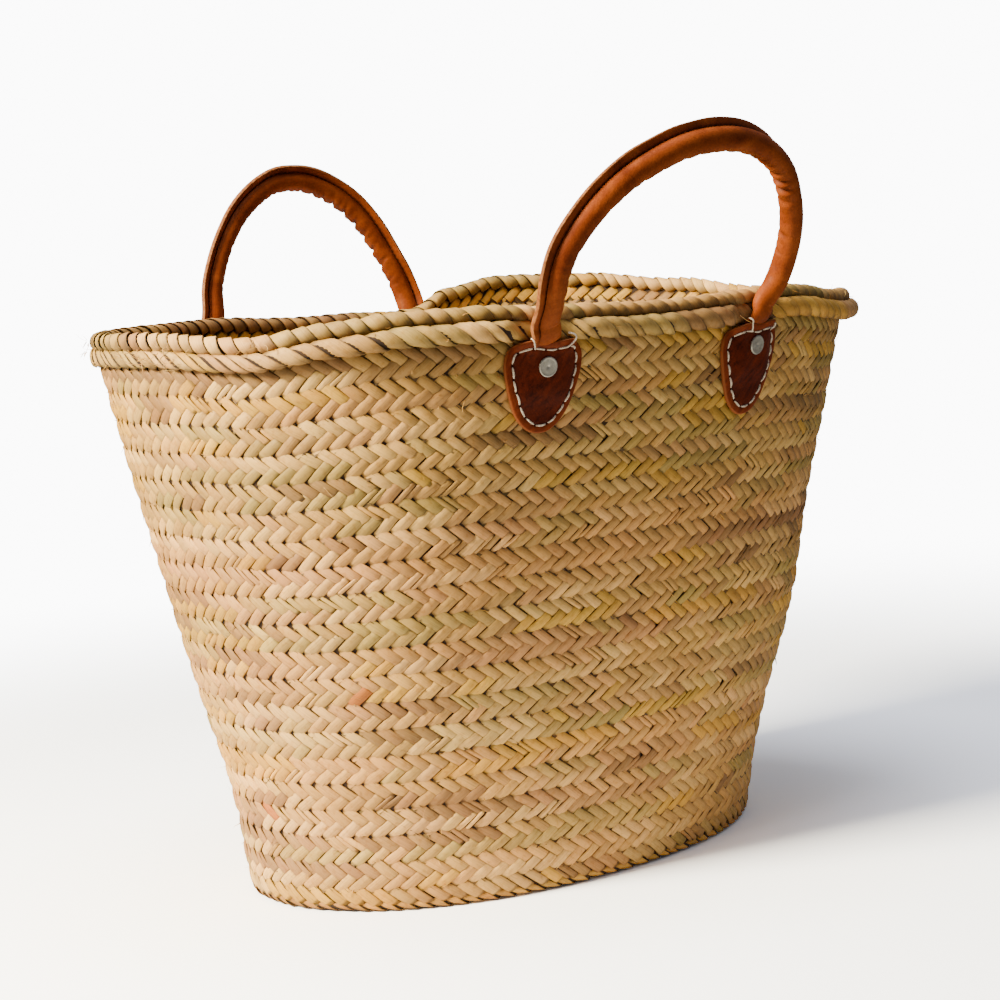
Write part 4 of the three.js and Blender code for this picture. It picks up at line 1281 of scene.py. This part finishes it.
# Short stubs at the joints between the rows
for _ in range(260):
    turn, row = fibre_rng.uniform(0, 360), fibre_rng.integers(1, plait_rows)
    start = wall_point(turn, row_levels[row] - row_height / 2 + fibre_rng.normal(0, 0.8), -0.9)
    normal = wall_point(turn, row_levels[row], 1.0) - wall_point(turn, row_levels[row], 0.0)
    way = normal * 0.8 + np.array([0, 0, fibre_rng.normal(0, 0.5)]) + fibre_rng.normal(0, 0.4, 3)
    add_fibre(start, way, (1.6, 3.6), (0.2, 0.8), (0.35, 0.9), 3, (0.9, 1.15))
joined_tubes("loose_fibres", fibres, straw, np.clip(fibre_tints, 0, 0.9))

# The studio: a pale floor and a white surround. Both look brighter to the camera than the
# light they give, so that the straw keeps its depth.
bpy.ops.mesh.primitive_plane_add(size=16, location=(0, 0, -0.0005))
floor = bpy.context.object
floor.name = "floor"
floor_material = bpy.data.materials.new("pale_floor")
floor_material.use_nodes = True
floor_tree = floor_material.node_tree
floor_tree.nodes.remove(floor_tree.nodes["Principled BSDF"])
seen = add_node(floor_tree, "ShaderNodeLightPath").outputs["Is Camera Ray"]
floor_reach = add_node(
    floor_tree, "ShaderNodeVectorMath", {0: object_place(floor_tree)}, operation="LENGTH"
).outputs["Value"]
floor_bounce = map_range(floor_tree, floor_reach, (0.2, 0.6), (0.88, 0.22))
bounced, looked_at = (
    add_node(floor_tree, "ShaderNodeBsdfDiffuse", {"Color": brightness}).outputs[0]
    for brightness in (floor_bounce, (1.8, 1.87, 2.1, 1))
)
floor_mix = add_node(floor_tree, "ShaderNodeMixShader", {0: seen, 1: bounced, 2: looked_at}).outputs[0]
floor_far = map_range(floor_tree, floor_reach, (0.45, 1.2), (0.0, 1.0), interpolation_type="SMOOTHSTEP")
floor_fade = calc(floor_tree, "MULTIPLY", floor_far, seen)
white = {"Color": (1, 1, 1, 1), "Strength": 11.0}
white_glow = add_node(floor_tree, "ShaderNodeEmission", white).outputs[0]
faded = add_node(floor_tree, "ShaderNodeMixShader", {0: floor_fade, 1: floor_mix, 2: white_glow}).outputs[0]
set_inputs(floor_tree, floor_tree.nodes["Material Output"], {"Surface": faded})
floor.data.materials.append(floor_material)

world = bpy.data.worlds.new("studio")
bpy.context.scene.world = world
world.use_nodes = True
world_tree = world.node_tree
surround = world_tree.nodes["Background"]
set_inputs(world_tree, surround, {"Color": (0.93, 0.97, 1, 1), "Strength": 0.27})
backdrop = add_node(world_tree, "ShaderNodeBackground", white)
world_seen = add_node(world_tree, "ShaderNodeLightPath").outputs["Is Camera Ray"]
world_mix = add_node(world_tree, "ShaderNodeMixShader", {
    0: world_seen, 1: surround.outputs[0], 2: backdrop.outputs[0],
})
set_inputs(world_tree, world_tree.nodes["World Output"], {"Surface": world_mix.outputs[0]})

view_turn = math.radians(38.7)
view_pitch = math.radians(11.16)
view_roll = math.radians(-4.15)
view_distance = 1.3114
view_height = 0.3419
forward = Vector((
    math.sin(view_turn) * math.cos(view_pitch),
    math.cos(view_turn) * math.cos(view_pitch),
    -math.sin(view_pitch),
))
level_forward = Vector((math.sin(view_turn), math.cos(view_turn), 0))
right = Vector((math.cos(view_turn), -math.sin(view_turn), 0))
above = right.cross(forward)
camera_right = math.cos(view_roll) * right + math.sin(view_roll) * above
camera_above = -math.sin(view_roll) * right + math.cos(view_roll) * above


def add_light(name, away, lift, aside, size, power):
    """A soft square lamp, placed as seen from the camera: aside to the right, away behind."""
    place = right * aside + level_forward * away + Vector((0, 0, lift))
    bpy.ops.object.light_add(type="AREA", location=place)
    lamp = bpy.context.object
    lamp.name = name
    lamp.data.energy = power
    lamp.data.size = size
    lamp.rotation_mode = "QUATERNION"
    lamp.rotation_quaternion = (Vector((0, 0, 0.15)) - place).to_track_quat("-Z", "Y")
    return lamp


key_light = add_light("key_light", -0.78, 1.15, -1.33, 0.55, 150)
key_light.data.color = (1, 0.89, 0.63)
add_light("top_light", -0.1, 1.8, -0.1, 0.9, 20)

bpy.ops.object.camera_add()
camera = bpy.context.object
camera.name = "camera"
axes = Matrix((camera_right, camera_above, -forward)).transposed()
camera.matrix_world = Matrix.Translation(
    Vector((-math.sin(view_turn) * view_distance, -math.cos(view_turn) * view_distance, view_height))
) @ axes.to_4x4()
camera.data.sensor_width = 36
camera.data.lens = 86.2
camera.data.shift_y = 0.195
camera.data.clip_start = 0.05
camera.data.clip_end = 50
bpy.context.scene.camera = camera
